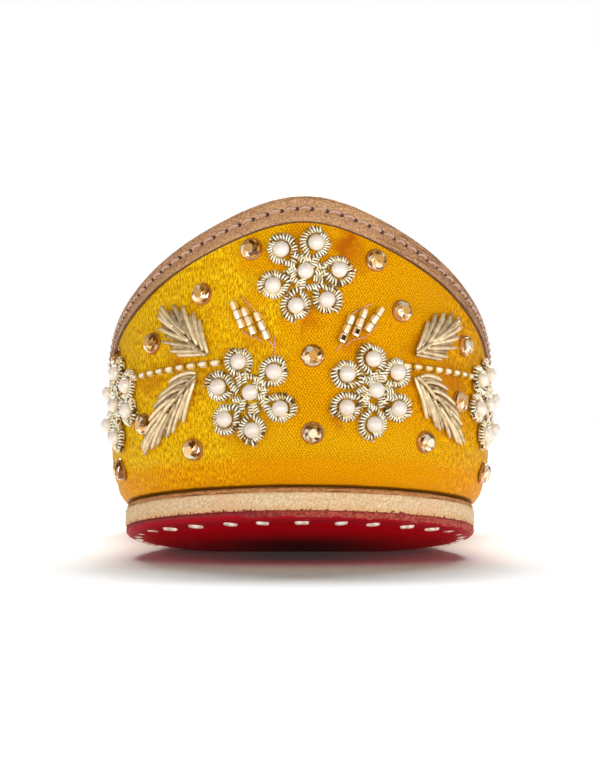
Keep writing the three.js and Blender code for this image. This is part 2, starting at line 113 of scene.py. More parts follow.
def underside(along, share):
    """Height of the sole over the floor: a power curve at heel and toe, a squared sine at the arch, and
    a squared curl towards the edge, where share is how far out of the half width a point lies."""
    cup = EDGE_CUP * np.clip((share - CUP_STARTS) / (1 - CUP_STARTS), 0, None) ** 2
    heel = HEEL_LIFT * np.clip(1 - along / HEEL_FLAT_FROM, 0, None) ** HEEL_CURVE
    past_ball = np.clip(along - BALL_FLAT_TO, 0, None) / (SOLE_EDGE[-1, 1] - BALL_FLAT_TO)
    waist = np.clip((along - HEEL_FLAT_TO) / (BALL_FLAT_FROM - HEEL_FLAT_TO), 0, 1)
    return cup + heel + TOE_SPRING * past_ball**TOE_CURVE + ARCH_RISE * np.sin(np.pi * waist) ** 2


def ripple(around, lengths, seed):
    """Unevenness of hand work from -1 to 1: sines of the given wavelengths with seeded phases."""
    phases = np.random.default_rng(seed).uniform(0, 2 * np.pi, len(lengths))
    turns = np.round(PERIMETER / np.array(lengths))
    return np.sin(2 * np.pi * np.asarray(around)[..., None] / PERIMETER * turns + phases).mean(-1)


def sole_layer(profile, from_height, waver=0.0, seed=0):
    """Points of one layer of the sole. Each profile row (share, inset, height) runs round the outline
    moved in by inset and drawn towards the centreline by share, at that height over the underside."""
    share, inset, height = np.array(profile, float).T
    uneven = waver * ripple(AROUND, [3.1, 5.3, 8.7, 19], seed)[:, None] * (share > 0.99)
    rim = sole_edge(AROUND)[:, None] - (inset + uneven)[..., None] * edge_out(AROUND)[:, None]
    spine = np.clip(rim[..., 1], SPINE_HEEL, SPINE_TOE)
    along = spine + share * (rim[..., 1] - spine)
    return np.stack([share * rim[..., 0], along, underside(along, share) + from_height + height], -1)


def running_length(points):
    """Distance from the first row along each column of a grid of points."""
    steps = np.linalg.norm(np.diff(points, axis=1), axis=-1)
    return np.hstack([np.zeros((len(points), 1)), np.cumsum(steps, 1)])


def make_piece(name, points, faces, materials, paint=None, uv=None, tone=None, weld=False, flat=False):
    """A mesh object at the origin, in metres, from points in millimetres and blocks of faces. Paint and
    tone give each face's material and brightness, and weld merges points that meet on a centreline."""
    mesh = bpy.data.meshes.new(name)
    place = points.reshape(-1, 3) * 0.001 + [0, HEEL_BACK * 0.001, 0]
    mesh.from_pydata(place.tolist(), [], [face for block in faces for face in block.tolist()])
    for material in materials:
        mesh.materials.append(material)
    if paint is not None:
        mesh.polygons.foreach_set("material_index", np.asarray(paint, np.int32))
    if uv is not None:
        mesh.uv_layers.new(name="millimetres").data.foreach_set("uv", uv.astype(np.float32).ravel())
    if tone is not None:
        shades = mesh.attributes.new("tone", "FLOAT", "FACE")
        shades.data.foreach_set("value", np.clip(tone, 0, 1).astype(np.float32))
    mesh.polygons.foreach_set("use_smooth", np.full(len(mesh.polygons), not flat))
    piece = bpy.data.objects.new(name, mesh)
    bpy.context.collection.objects.link(piece)
    if weld:
        bpy.context.view_layer.objects.active = piece
        meeting = piece.modifiers.new("meeting points", "WELD")
        meeting.merge_threshold = 1e-6
        bpy.ops.object.modifier_apply(modifier=meeting.name)
    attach(piece, "root")
    return piece


def ring_piece(name, points, materials, closed, heights=None, paint=None):
    """A piece that runs round the shoe: quads between neighbouring columns of a grid of points, with the
    last row joined to the first if closed, or else welded on the centreline. Heights, the lengths along
    each column, give the corners coordinates in millimetres: around the sole and along the section."""
    rows = points.shape[1]
    c, r = np.meshgrid(np.arange(COLUMNS), np.arange(rows if closed else rows - 1), indexing="ij")
    right, above = (c + 1) % COLUMNS, (r + 1) % rows
    faces = np.stack([c * rows + r, right * rows + r, right * rows + above, c * rows + above], -1)
    uv = None
    if heights is not None:
        climb = np.vstack([heights, heights[:1]])
        if closed:
            climb = np.hstack([climb, climb[:, -1:] + 1])
        turn = np.broadcast_to(np.append(AROUND, PERIMETER)[:, None], climb.shape)
        grid = np.stack([turn, climb], -1)
        uv = np.stack([grid[:-1, :-1], grid[1:, :-1], grid[1:, 1:], grid[:-1, 1:]], 2)
    return make_piece(name, points, [faces.reshape(-1, 4)], materials, paint, uv, weld=not closed)


def linear(colour):
    """An sRGB hex colour as linear red, green, blue and alpha."""
    srgb = np.array([int(colour[i : i + 2], 16) for i in (1, 3, 5)]) / 255
    return *np.where(srgb <= 0.04045, srgb / 12.92, ((srgb + 0.055) / 1.055) ** 2.4), 1.0


def plug(node, sockets):
    """Give inputs of a node a value, a hex colour or another node's output."""
    for socket, value in sockets.items():
        if isinstance(value, bpy.types.NodeSocket):
            node.id_data.links.new(value, node.inputs[socket])
        else:
            node.inputs[socket].default_value = linear(value) if isinstance(value, str) else value


def add(tree, kind, sockets, out=0, **settings):
    """One output of a new node: settings are the node's properties, and sockets its inputs."""
    made = tree.nodes.new(kind)
    for name, value in settings.items():
        setattr(made, name, value)
    plug(made, sockets)
    return made.outputs[out]


def new_material(name):
    """A node material."""
    material = bpy.data.materials.new(name)
    material.use_nodes = True
    return material


def surface(material, sockets):
    """Set inputs of a material's shader."""
    plug(material.node_tree.nodes["Principled BSDF"], sockets)


def coordinates(material, kind="Object"):
    """Places on the piece: Object in metres, or UV in millimetres."""
    return add(material.node_tree, "ShaderNodeTexCoord", {}, kind)


def component(place, letter):
    """The X, Y or Z of a place."""
    return add(place.id_data, "ShaderNodeSeparateXYZ", {"Vector": place}, letter)


def stretched(place, *sizes):
    """Places measured in units of these sizes."""
    sockets = {"Vector": place, "Scale": (*sizes, 1)}
    return add(place.id_data, "ShaderNodeMapping", sockets, vector_type="TEXTURE")


def noise(place, size, detail, roughness=0.5):
    """Cloudy noise with features of this size and so many finer layers, which fade by roughness."""
    sockets = {"Vector": place, "Scale": 1 / size, "Detail": detail, "Roughness": roughness}
    return add(place.id_data, "ShaderNodeTexNoise", sockets)


def ramp(value, begin, end, low=0.0, high=1.0, soft=False):
    """Low up to begin, high from end on, and between them straight or with soft ends."""
    sockets = {"Value": value, "From Min": begin, "From Max": end, "To Min": low, "To Max": high}
    kind = "SMOOTHSTEP" if soft else "LINEAR"
    return add(value.id_data, "ShaderNodeMapRange", sockets, interpolation_type=kind)


def blend(share, one, other):
    """The colour a share of the way from one to the other."""
    return add(share.id_data, "ShaderNodeMix", {0: share, 6: one, 7: other}, 2, data_type="RGBA")


def bump(height, strength, deep, over=None, **settings):
    """Normals dented by a height, so many metres deep, on top of another dent if one is given."""
    sockets = {"Height": height, "Strength": strength, "Distance": deep}
    if over is not None:
        sockets["Normal"] = over
    return add(height.id_data, "ShaderNodeBump", sockets, **settings)


# Dyed sole leather, pressed and glossed: a deep crimson with a soft sheen, paler in a band along its edge
# from a painted sheen, darker further under from painted shade, with faint scratches along the edge.
glossed_red = new_material("glossed red sole leather")
skin = coordinates(glossed_red, "UV")
edge = component(skin, "Y")
dye = blend(noise(coordinates(glossed_red), 0.012, 5.0), "#c00012", "#dc001a")
# painted sheen: a paler band along the edge stands in for the gloss reflecting the floor
edge_painted_sheen = blend(ramp(edge, -3.8, -0.3, 0, 0.6, soft=True), dye, "#9c2430")
# painted shade: the sole turns near black further under, where the floor's shadow falls
under_painted_shade = blend(ramp(edge, -30, -8, 0.8, 0, soft=True), edge_painted_sheen, "#3a0006")
scuff = noise(stretched(skin, 14, 0.5), 1.0, 3.0)
surface(glossed_red, {
    "Base Color": blend(ramp(scuff, 0.62, 0.74, 0, 0.5), under_painted_shade, "#c06a70"),
    "Roughness": ramp(scuff, 0, 1, 0.3, 0.5),
    "Normal": bump(scuff, 0.15, 0.0002), "Specular IOR Level": 0.015,
})

# The cut edge of the same leather: torn into dry crumbs by the knife, brick red on the right of the
# shoe and darker where the dye went over it again on the left.
rough_red = new_material("rough red leather edge")
spot = coordinates(rough_red)
crumb = noise(spot, 0.0006, 6.0, 0.7)
torn = ramp(crumb, 0.38, 0.62)
brick, dark = blend(torn, "#8c201c", "#d0604c"), blend(torn, "#801418", "#a22c2c")
surface(rough_red, {
    "Base Color": blend(ramp(component(spot, "X"), -0.012, 0.004, soft=True), dark, brick),
    "Normal": bump(crumb, 0.7, 0.0004), "Roughness": 0.85,
})

profile = [(share, 1.5, 0) for share in (0, 0.15, 0.3, 0.42, 0.5, 0.58, 0.66, 0.74, 0.82, 0.9, 0.96)]
profile += [(1, 1.5, 0), (1, 0.95, 0.1), (1, 0.5, 0.3), (1, 0.25, 0.5), (1, 0.12, 0.7), (1, 0.06, 0.95)]
profile += [(1, 0.06, 1.2), *((share, 0.14, OUTSOLE_THICK) for share in (1, 0.5, 0))]
points = sole_layer(profile, 0, waver=0.1, seed=1)
sway = np.sin(2 * np.pi * (AROUND + 6) / PERIMETER)
gloss_to = GLOSS_ROW - GLOSS_SWAY * sway + GLOSS_RAGGED * ripple(AROUND, [2.3, 4.1, 9], 5)
rubbed = np.abs(AROUND - PERIMETER - RUBBED_AT) < RUBBED_REACH
gloss_to = np.round(np.where(rubbed, np.maximum(gloss_to, RUBBED_ROW), gloss_to))
from_edge = running_length(points)
from_edge -= from_edge[:, [EDGE_ROW]]
outsole = ring_piece(
    "outsole_leather", points, [glossed_red, rough_red], False, from_edge,
    (np.arange(len(profile) - 1) >= gloss_to[:, None]).ravel())
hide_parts("outsole")

# Sole stitches. Thick cream thread that goes through outsole and midsole, one row of running stitches
# a little inside the edge. Each is pulled down until it lies nearly flush with the red leather, or
# below it on both sides of the heel.
STITCH_INSET, STITCH_PITCH, STITCH_LONG, STITCH_THICK = 2.3, 6.65, 2.6, 1.25
STITCH_SLANT, SLANT_OVER, STITCH_STEPS = 0.6, 10, 9
START_UNEVEN, LONG_UNEVEN, SHORTER = 0.06, 0.16, 0.2
PULLED, PULLED_FLUSH, PULLED_SUNK, PULLED_ENDS = 0.36, 0.11, 0.15, 0.18  # of the thread's thickness
SHORT_FROM, FLUSH_FROM, FLUSH_OVER, SUNK_AT, SUNK_REACH = 22, 27, 6, 39, 8  # from the heel's middle


def tubes(paths, ups, radii, sides, twist=0.0):
    """A round section carried along each path: point = path + radius * (cos * side + sin * up), where
    side lies across the path and up as near the given way as the path allows. Twist turns the
    section along the way, and the ends are closed flat."""
    along = np.gradient(paths, axis=1)
    side = unit(np.cross(along, ups))
    up = unit(np.cross(side, along))
    count, steps = paths.shape[:2]
    angle = 2 * np.pi * np.arange(sides) / sides + np.broadcast_to(twist, (steps,))[:, None]
    ring = np.cos(angle)[..., None] * side[:, :, None] + np.sin(angle)[..., None] * up[:, :, None]
    points = paths[:, :, None] + np.broadcast_to(radii, (count, steps))[..., None, None] * ring
    p, i, k = np.meshgrid(np.arange(count), np.arange(steps - 1), np.arange(sides), indexing="ij")
    first = (p * steps + i) * sides
    after = (k + 1) % sides
    walls = np.stack([first + k, first + sides + k, first + sides + after, first + after], -1)
    starts = np.arange(count)[:, None] * steps * sides + np.arange(sides)
    ends = starts[:, ::-1] + (steps - 1) * sides
    return points.reshape(-1, 3), [walls.reshape(-1, 4), starts, ends]


def rounded(steps, blunt=0.35):
    """Radius along a thread from end to end, 1 over most of it and drawn in roundly at both ends."""
    way = np.linspace(-1, 1, steps)
    return np.sqrt(np.clip(1 - np.abs(way) ** 6 * (1 - blunt**2), 0, 1))


# Waxed cotton thread: matt cream, with the twist of its plies as fine slanting ridges.
cream_thread = new_material("waxed cream thread")
plies = add(cream_thread.node_tree, "ShaderNodeTexWave", {
    "Vector": coordinates(cream_thread), "Scale": 1 / 0.0024, "Distortion": 2.0, "Detail": 1.0,
}, "Fac", bands_direction="DIAGONAL")
surface(cream_thread, {
    "Base Color": blend(plies, "#e4c6ae", "#fffaf0"), "Normal": bump(plies, 0.5, 0.0002), "Roughness": 0.6,
})

count = int(PERIMETER / STITCH_PITCH)
number = np.arange(count)
start = (number + 0.05 + START_UNEVEN * np.sin(number * 2.3)) * PERIMETER / count
from_heel = (start + PERIMETER / 2) % PERIMETER - PERIMETER / 2
off = np.abs(from_heel)[:, None]
long = STITCH_LONG * (1 + LONG_UNEVEN * np.sin(number * 5.1))[:, None]
long = long * (1 - SHORTER * np.clip(off / SHORT_FROM, 0, 1))
reach = np.linspace(-0.5, 0.5, STITCH_STEPS) * long
around = start[:, None] + reach
rim = sole_edge(around)
inset = STITCH_INSET - STITCH_SLANT * reach * np.clip(from_heel / SLANT_OVER, -1, 1)[:, None]
inner = rim - inset[..., None] * edge_out(around)
spine = np.clip(rim[..., 1], SPINE_HEEL, SPINE_TOE)
centre = np.stack([np.zeros_like(spine), spine], -1)
share = np.linalg.norm(inner - centre, axis=-1) / np.linalg.norm(rim - centre, axis=-1)
pulled = PULLED + PULLED_FLUSH * np.clip((off - FLUSH_FROM) / FLUSH_OVER, 0, 1)
pulled = pulled + PULLED_SUNK * np.exp(-(((off - SUNK_AT) / SUNK_REACH) ** 4))
sink = STITCH_THICK * (pulled + PULLED_ENDS * np.linspace(-1, 1, STITCH_STEPS) ** 8)
height = np.maximum(underside(inner[..., 1], share) + sink, 0.5 * STITCH_THICK)
paths = np.concatenate([inner, height[..., None]], -1)
below = np.broadcast_to([0, 0, -1.0], paths.shape)
points, faces = tubes(paths, below, 0.5 * STITCH_THICK * rounded(STITCH_STEPS), 8)
sole_stitches = make_piece("sole_stitches", points, faces, [cream_thread])

# Midsole. One thick layer of undyed leather, stuck and sewn between outsole and upper; only its cut
# edge shows.
MIDSOLE_THICK = 3.1
HIDDEN = -30.0  # height given to the rows that lie under the shoe


def work(operation, *values, **settings):
    """A sum done on values, the first of them an output."""
    sockets = dict(enumerate(values))
    return add(values[0].id_data, "ShaderNodeMath", sockets, operation=operation, **settings)


# Raw cut edge: pale tan, speckled by the ends of its fibres, warmer low down, with red dye in ragged
# specks along the bottom.
raw_edge = new_material("raw cut leather edge")
spot, height = coordinates(raw_edge), component(coordinates(raw_edge, "UV"), "Y")
fibre = noise(spot, 0.0004, 6.0, 0.8)
tone = blend(ramp(fibre, 0.36, 0.62), "#d59868", "#fff0c4")
dull = blend(ramp(noise(spot, 0.006, 3.0), 0.45, 0.75, 0, 0.6), tone, "#f0bc8e")
warm = blend(ramp(height, 0.4, 1.3, 0.5, 0), dull, "#e8b06a")
creep = ramp(noise(spot, 0.0005, 1.0), 0.5, 0.7, 0.12, 0.55)
surface(raw_edge, {
    "Base Color": blend(work("LESS_THAN", height, creep), warm, "#9c3a2e"),
    "Normal": bump(fibre, 0.6, 0.0003), "Roughness": 0.88,
})

profile = [(0, 0.2, 0), (0.5, 0.2, 0), (1, 0.2, 0), (1, 0.08, 0.12)]
profile += [(1, 0.02, h) for h in np.linspace(0.4, 2.65, 8)]
profile += [(1, 0.12, 2.95), *((share, 0.3, MIDSOLE_THICK) for share in (1, 0.5, 0))]
points = sole_layer(profile, OUTSOLE_THICK, waver=0.16, seed=2)
heights = np.hstack([np.full((COLUMNS, 2), HIDDEN), running_length(points[:, 2:])])
midsole = ring_piece("midsole_leather", points, [raw_edge], False, heights)
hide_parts("midsole")

# Rand. A thin strip of brown leather round the top of the midsole, its skin side up, pulled in
# under the satin and a little wavy where the stitches draw it down.
RAND_THICK, RAND_WAVE = 0.85, 0.26

# Skin side of a thin brown leather: matt and finely grained.
brown_rand = new_material("brown rand leather")
fibre = noise(coordinates(brown_rand), 0.0006, 5.0, 0.7)
surface(brown_rand, {
    "Base Color": blend(ramp(fibre, 0.35, 0.65), "#945c2e", "#d89858"),
    "Normal": bump(fibre, 0.6, 0.0003), "Roughness": 0.75,
})

profile = [(0, 0.5, 0), (0.5, 0.5, 0), (1, 0.5, 0), (1, 0.3, 0.1), (1, 0.25, 0.32), (1, 0.35, 0.55)]
profile += [(1, 0.6, 0.75), *((share, 1.1, RAND_THICK) for share in (1, 0.5, 0))]
points = sole_layer(profile, OUTSOLE_THICK + MIDSOLE_THICK, waver=0.22, seed=3)
points[:, 2:5, 2] += RAND_WAVE * ripple(AROUND, [5, 9, 23], 4)[:, None]
rand = ring_piece("rand_strip", points, [brown_rand], False)
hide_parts("rand")

# Insole. Smooth tan leather laid in the shoe, its edge close to the lining.
INSOLE_THICK, INSOLE_INSET, INSOLE_ROUND = 1.4, 3.3, 0.3
SATIN_SINK = 0.2
SEAT = OUTSOLE_THICK + MIDSOLE_THICK + RAND_THICK + SATIN_SINK


def smooth_leather(name, pore, cloud, low, high, strength, roughness):
    """Leather with pores and slow changes of tone, both of the given sizes in metres."""
    material = new_material(name)
    spot = coordinates(material)
    pores = add(material.node_tree, "ShaderNodeTexVoronoi", {"Vector": spot, "Scale": 1 / pore})
    surface(material, {
        "Base Color": blend(noise(spot, cloud, 4.0), low, high),
        "Normal": bump(pores, strength, 0.0002), "Roughness": roughness,
    })
    return material


# Vegetable-tanned leather, smooth with small pores and slow changes of tone.
tan_insole = smooth_leather("smooth tan insole leather", 0.0009, 0.03, "#b08253", "#d8ad7e", 0.2, 0.6)

top_inset = INSOLE_INSET + INSOLE_ROUND
profile = [(share, INSOLE_INSET, 0) for share in (0, 0.5, 1)] + [(1, INSOLE_INSET, 0.9)]
profile += [(share, top_inset, INSOLE_THICK) for share in (1, 0.96, 0.9, 0.8, 0.7, 0.6, 0.5, 0.35, 0.2, 0)]
insole = ring_piece("insole_leather", sole_layer(profile, SEAT), [tan_insole], False)
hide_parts("insole")

# Upper. Mustard satin pasted over leather and lined with thin leather: one hollow wall, open at the
# topline and underneath, its foot lasted in on to the rand.
WALL, LAYER_GAP = 2.0, 0.3
FEATHER_INSET, FOOT_TUCK, TUCK_UP, FOOT_LEVEL = 0.7, 0.5, 0.5, 0.15
LEAN, LEAN_FROM, LEAN_OVER, LEAN_AHEAD = 0.7, 25, 36, 50
BINDING_WIDTH, BINDING_PROUD, BINDING_THICK = 4.7, 0.5, 1.0
BINDING_RECESS = BINDING_THICK - BINDING_PROUD + LAYER_GAP
WALL_SECTIONS = np.array([  # swell, rise, then fair point and top: across, along, height
    (5.0, 3.0, 0, -2.4, 40, 0, 0.6, 61.0), (5.0, 3.0, 12.7, 0.2, 38, 12.4, 2.9, 57.4),
    (5.0, 3.0, 22.9, 7.5, 35, 22.6, 9.6, 51.1), (5.1, 3.0, 29.8, 18.4, 31, 29.5, 20.4, 43.8),
    (5.2, 3.0, 31.8, 32, 26, 32.6, 33.5, 37.4), (5.2, 3.2, 32.0, 56, 20, 33.2, 57, 28.6),
    (6.0, 4.5, 32.2, 88, 18, 32.0, 90, 25.4), (6.4, 5.5, 34.0, 117, 20, 30.4, 118, 27.2),
    (4.6, 8.0, 37.0, 141, 30, 25.4, 139.5, 36.0), (3.4, 13, 32.5, 161, 39, 17.6, 154.6, 45.2),
    (3.0, 15, 22.5, 179, 41, 9.6, 162.4, 49.2), (3.0, 16, 14.0, 189, 40.5, 5.0, 165.4, 50.6),
    (3.0, 16, 7.6, 194, 40, 2.4, 166.4, 51.0), (3.0, 16, 3.4, 196.4, 39.8, 1.0, 166.8, 51.2),
    (3.0, 16, 0, 197, 39.8, 0, 167, 51.2),
])
wall_section = smooth_through(both_halves(WALL_SECTIONS, [2, 5]))
OUTER_ROWS, INNER_ROWS, CLOSER_LOW = 64, 22, 1.2
FOLD_UP, FOLD_WAVE, FOLD_DEPTH, FOLD_WIDTH, FOLD_REACH = 4.6, 0.5, 0.25, 0.9, 70
TUCK_DEPTH, TUCK_FADE, SLOW_DEPTH, SLOW_FROM = 0.16, 2.2, 0.12, 8
LEVELS = np.linspace(0, 1, 161)
LEVEL_STEP = 0.002  # short enough to measure slopes with


def wall(around, level):
    """Outer face of the upper, level 0 at the sole to 1 at the topline: a cubic Bezier curve from the
    foot, leaving it outwards by swell and upwards by rise, heading for the fair point, to the top. The
    back leans to the right, by a power of the height over where the lean begins."""
    around, level = np.broadcast_arrays(np.asarray(around, float), np.asarray(level, float))
    section, out = wall_section(around), edge_out(around)
    foot = sole_edge(around) - FEATHER_INSET * out
    foot = np.concatenate([foot, (underside(foot[..., 1], 1) + SEAT)[..., None]], -1)
    full = foot + np.concatenate([section[..., :1] * out, section[..., 1:2]], -1)
    t = level[..., None]
    start = (1 - t) ** 3 * foot + 3 * (1 - t) ** 2 * t * full
    point = start + 3 * (1 - t) * t**2 * section[..., 2:5] + t**3 * section[..., 5:8]
    high = np.clip((point[..., 2] - LEAN_FROM) / LEAN_OVER, 0, 1)
    point[..., 0] += LEAN * high**1.5 * np.clip(1 - point[..., 1] / LEAN_AHEAD, 0, 1)
    return point


def wall_lie(around, level):
    """Point, level direction to the right, direction above and normal of the outer face, by differences."""
    along = wall(around + AROUND_STEP, level) - wall(around - AROUND_STEP, level)
    rise = wall(around, level + LEVEL_STEP) - wall(around, level - LEVEL_STEP)
    normal = unit(np.cross(along, rise))
    side = unit(np.cross([0.0, 0.0, 1.0], normal))
    return wall(around, level), side, np.cross(normal, side), normal


def off_wall(around, level, out):
    """Outer face moved out along its normal, or level with the floor right down at the sole."""
    around, level, out = np.broadcast_arrays(around, level, out)
    point, _, _, normal = wall_lie(around, level)
    flat = np.concatenate([edge_out(around), np.zeros(around.shape + (1,))], -1)
    tilt = np.clip(level / FOOT_LEVEL, 0, 1)[..., None]
    return point + out[..., None] * unit(flat * (1 - tilt) + normal * tilt)


def level_up(around, up):
    """Level at a length up the wall from the sole, by inverting the wall's running length."""
    last = len(LEVELS) - 1
    lengths = running_length(wall(around[:, None], LEVELS))
    i = np.clip((lengths < up[:, None]).sum(1), 1, last)[:, None]
    low, high = (np.take_along_axis(lengths, k, 1)[:, 0] for k in (i - 1, i))
    return LEVELS[i[:, 0] - 1] + (up - low) / (high - low) / last


WALL_LENGTH = running_length(wall(AROUND[:, None], LEVELS))[:, -1]


def crease(around, up):
    """Relief of the satin in millimetres: a soft fold where the stiffener behind it ends, tucks where it
    is lasted in at the sole, and a slow unevenness all over."""
    back = np.minimum(np.mod(around, PERIMETER), PERIMETER - np.mod(around, PERIMETER))
    line = FOLD_UP + FOLD_WAVE * ripple(around, [34, 61], 11)
    fold = -FOLD_DEPTH * np.exp(-(((up - line) / FOLD_WIDTH) ** 2)) * np.exp(-((back / FOLD_REACH) ** 4))
    tucks = TUCK_DEPTH * ripple(around, [6, 8.5, 13], 12) * np.exp(-up / TUCK_FADE)
    slow = SLOW_DEPTH * ripple(around + 0.7 * up, [25, 40], 13) * np.clip(up / SLOW_FROM, 0, 1)
    return fold + tucks + slow


def towards(share, one, other):
    """The number a share of the way from one, which is an output, to the other."""
    return add(one.id_data, "ShaderNodeMix", {0: share, 2: one, 3: other})


# Satin, lightly slubbed: a fine crossed weave, ochre, and more orange low down from painted shade under the
# fold, with orange patches that are partly where glue or dye came through and partly painted shade round
# the ornaments.
# On the left of the heel its floats show as soft upright streaks, and a painted sheen makes that side
# yellower, as does a painted highlight in a band above the fold; on the right the floats show as thicker
# slubs. Painted shade darkens its foot where it tucks in.
GRAIN, GRAIN_TURN, WAVE_LENGTH = 0.42, 0.58, 0.314  # the last is the wave pattern's own, at scale 1
LEFT_BEGINS, LEFT_FULL, LEFT_FADES, LEFT_ENDS = 2, 14, 55, 100  # round from the heel's middle
RIGHT_AT, RIGHT_FULL, RIGHT_ENDS = 42.0, 10, 26
SWELL_UP, PATCH_SPREAD = 8.0, 7.0
GLUE_AND_SHADE_PATCHES = [  # around, up, reach and depth
    (6.8, 41, 3.6, 0.95), (9, 38, 3, 0.4), (-1, 41, 3, 0.4), (0.5, 28, 4, 0.5), (-14, 19.5, 3, 0.5),
    (-6.5, 25, 4, 0.4), (8, 25, 4, 0.4), (17, 19.5, 3, 0.5), (-10, 10, 4, 0.4), (-20, 22, 4, 0.5),
    (-26, 19, 4, 0.5), (-18.5, 16.5, 3, 0.5), (27, 20, 5, 0.55), (5.5, 12.5, 2.5, 0.5), (19, 24, 3, 0.4),
    (-17, 31, 3, 0.4),
]
satin = new_material("mustard slub satin")
nodes = satin.node_tree
cloth = coordinates(satin, "UV")
up = component(cloth, "Y")
weave = []
for turn in (GRAIN_TURN, -GRAIN_TURN):
    slant = {"Vector": cloth, "Rotation": (0, 0, turn)}
    weave.append(add(nodes, "ShaderNodeTexWave", {
        "Vector": add(nodes, "ShaderNodeMapping", slant, vector_type="TEXTURE"),
        "Scale": WAVE_LENGTH / GRAIN, "Distortion": 2.0, "Detail": 1.0, "Detail Scale": 2.5,
    }, "Fac"))
ridge = ramp(towards(0.5, *weave), 0, 1, 0.36, 0.64)
twill = towards(0.62, ridge, noise(cloth, 0.15, 1.0))
wander = ramp(noise(cloth, 9, 4.0), 0.35, 0.65, -9.0, 9.0)
across = work("ADD", component(cloth, "X"), wander)
near = ramp(across, PERIMETER - LEFT_FULL, PERIMETER - LEFT_BEGINS, 1, 0, soft=True)
far = ramp(across, PERIMETER - LEFT_ENDS, PERIMETER - LEFT_FADES, soft=True)
left = work("MULTIPLY", near, far)
streaks = noise(stretched(cloth, 0.24, 0.9), 1.0, 2.0)
streaked = towards(work("MULTIPLY", left, 0.5), twill, streaks)
right = work("ABSOLUTE", work("SUBTRACT", across, RIGHT_AT))
right = ramp(right, RIGHT_FULL, RIGHT_ENDS, 0.36, 0, soft=True)
thread = towards(right, streaked, noise(stretched(cloth, 0.5, 1.0), 1.0, 3.0))
shade = ramp(thread, 0.43, 0.57)
ochre, yellow = blend(shade, "#a65a00", "#fdba0c"), blend(shade, "#bc7a00", "#ffd21a")
# painted highlight: a band above the fold, where the satin swells out, is mixed towards yellow
swell = ramp(work("ABSOLUTE", work("SUBTRACT", up, SWELL_UP)), 0.5, 5.0, 0.4, 0, soft=True)
stray = noise(cloth, 2.5, 3.0)
# painted sheen: the left of the heel, in clouds, is mixed towards yellow along with that band
lit = work("MULTIPLY_ADD", left, ramp(stray, 0.3, 0.7, 0.5, 1.5), swell, use_clamp=True)
# painted shade: more orange below the fold, where the satin faces down
low_painted_shade = blend(shade, "#c67400", "#fcae0a")
tone = blend(ramp(up, 3.6, 6.4, 0.85, 0, soft=True), blend(lit, ochre, yellow), low_painted_shade)
# orange patches, partly glue stains and partly painted shade round the ornaments
patch_place = add(nodes, "ShaderNodeVectorMath", {
    0: stray.node.outputs["Color"], 1: (PATCH_SPREAD, PATCH_SPREAD, 0), 2: cloth,
}, operation="MULTIPLY_ADD")
for patch_around, patch_up, reach, depth in GLUE_AND_SHADE_PATCHES:
    middle = (patch_around % PERIMETER + PATCH_SPREAD / 2, patch_up + PATCH_SPREAD / 2, 0)
    apart = add(nodes, "ShaderNodeVectorMath", {0: patch_place, 1: middle}, "Value", operation="DISTANCE")
    tone = blend(ramp(apart, 0.2 * reach, reach, depth, 0, soft=True), tone, "#b2580c")
# painted shade: the foot darkens in the crevice where it tucks in against the rand
surface(satin, {
    "Base Color": blend(ramp(up, 0.3, 0.65, 0.85, 0), tone, "#4a2806"),
    "Normal": bump(thread, 0.15, 0.0002), "Roughness": 0.5,
    "Specular IOR Level": 0.05, "Specular Tint": "#e8a020",
})

# Lining of thin pale leather, matt and softly grained.
lining = smooth_leather("pale lining leather", 0.0012, 0.02, "#c49a6c", "#e0bd92", 0.25, 0.65)

step = level_up(AROUND, WALL_LENGTH - 0.75 * BINDING_WIDTH)[:, None]
rim = level_up(AROUND, WALL_LENGTH - BINDING_THICK)[:, None]
outer_level = step * np.linspace(0, 1, OUTER_ROWS + 1) ** CLOSER_LOW
up = running_length(wall(AROUND[:, None], outer_level))
outer = off_wall(AROUND[:, None], outer_level, crease(AROUND[:, None], up))
tuck = np.clip(1 - up / TUCK_UP, 0, 1) ** 2
outer[..., :2] -= (FOOT_TUCK * tuck)[..., None] * edge_out(AROUND)[:, None]
outer[..., 2] -= SATIN_SINK * tuck
recess = off_wall(AROUND[:, None], np.hstack([step, rim]), -BINDING_RECESS)
inner = off_wall(AROUND[:, None], rim * np.linspace(1, 0, INNER_ROWS + 1) ** CLOSER_LOW, -WALL)
points = np.concatenate([outer, recess, inner], 1)
rows = np.arange(points.shape[1])
heights = np.hstack([up, up[:, -1:] + rows[1:-OUTER_ROWS]])
upper = ring_piece(
    "satin_upper", points, [satin, lining], True, heights, np.tile(rows >= OUTER_ROWS, COLUMNS))
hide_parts("upper")

# Binding. A strip of bronze-tan leather folded over the topline with both edges left raw, pressed flat
# and sewn through along its middle.
SEAM_DOWN, SEAM_PITCH = 2.45, 2.5
NARROWER, NARROW_FROM, NARROW_OVER = 0.14, 6, 20
TOP_ROUND, TOP_SQUARE = 0.8, 0.7


def topline(down, out):
    """Points so far down from the topline and out from the wall, one column for each place around; down
    shrinks with the strip's width, which is full at the back and narrower along the sides."""
    back = np.minimum(AROUND, PERIMETER - AROUND)
    width = 1 - NARROWER * np.clip((back - NARROW_FROM) / NARROW_OVER, 0, 1) ** 1.5
    level = np.stack([level_up(AROUND, WALL_LENGTH - d * width) for d in np.atleast_1d(down)], 1)
    return off_wall(AROUND[:, None], level, np.atleast_1d(out))


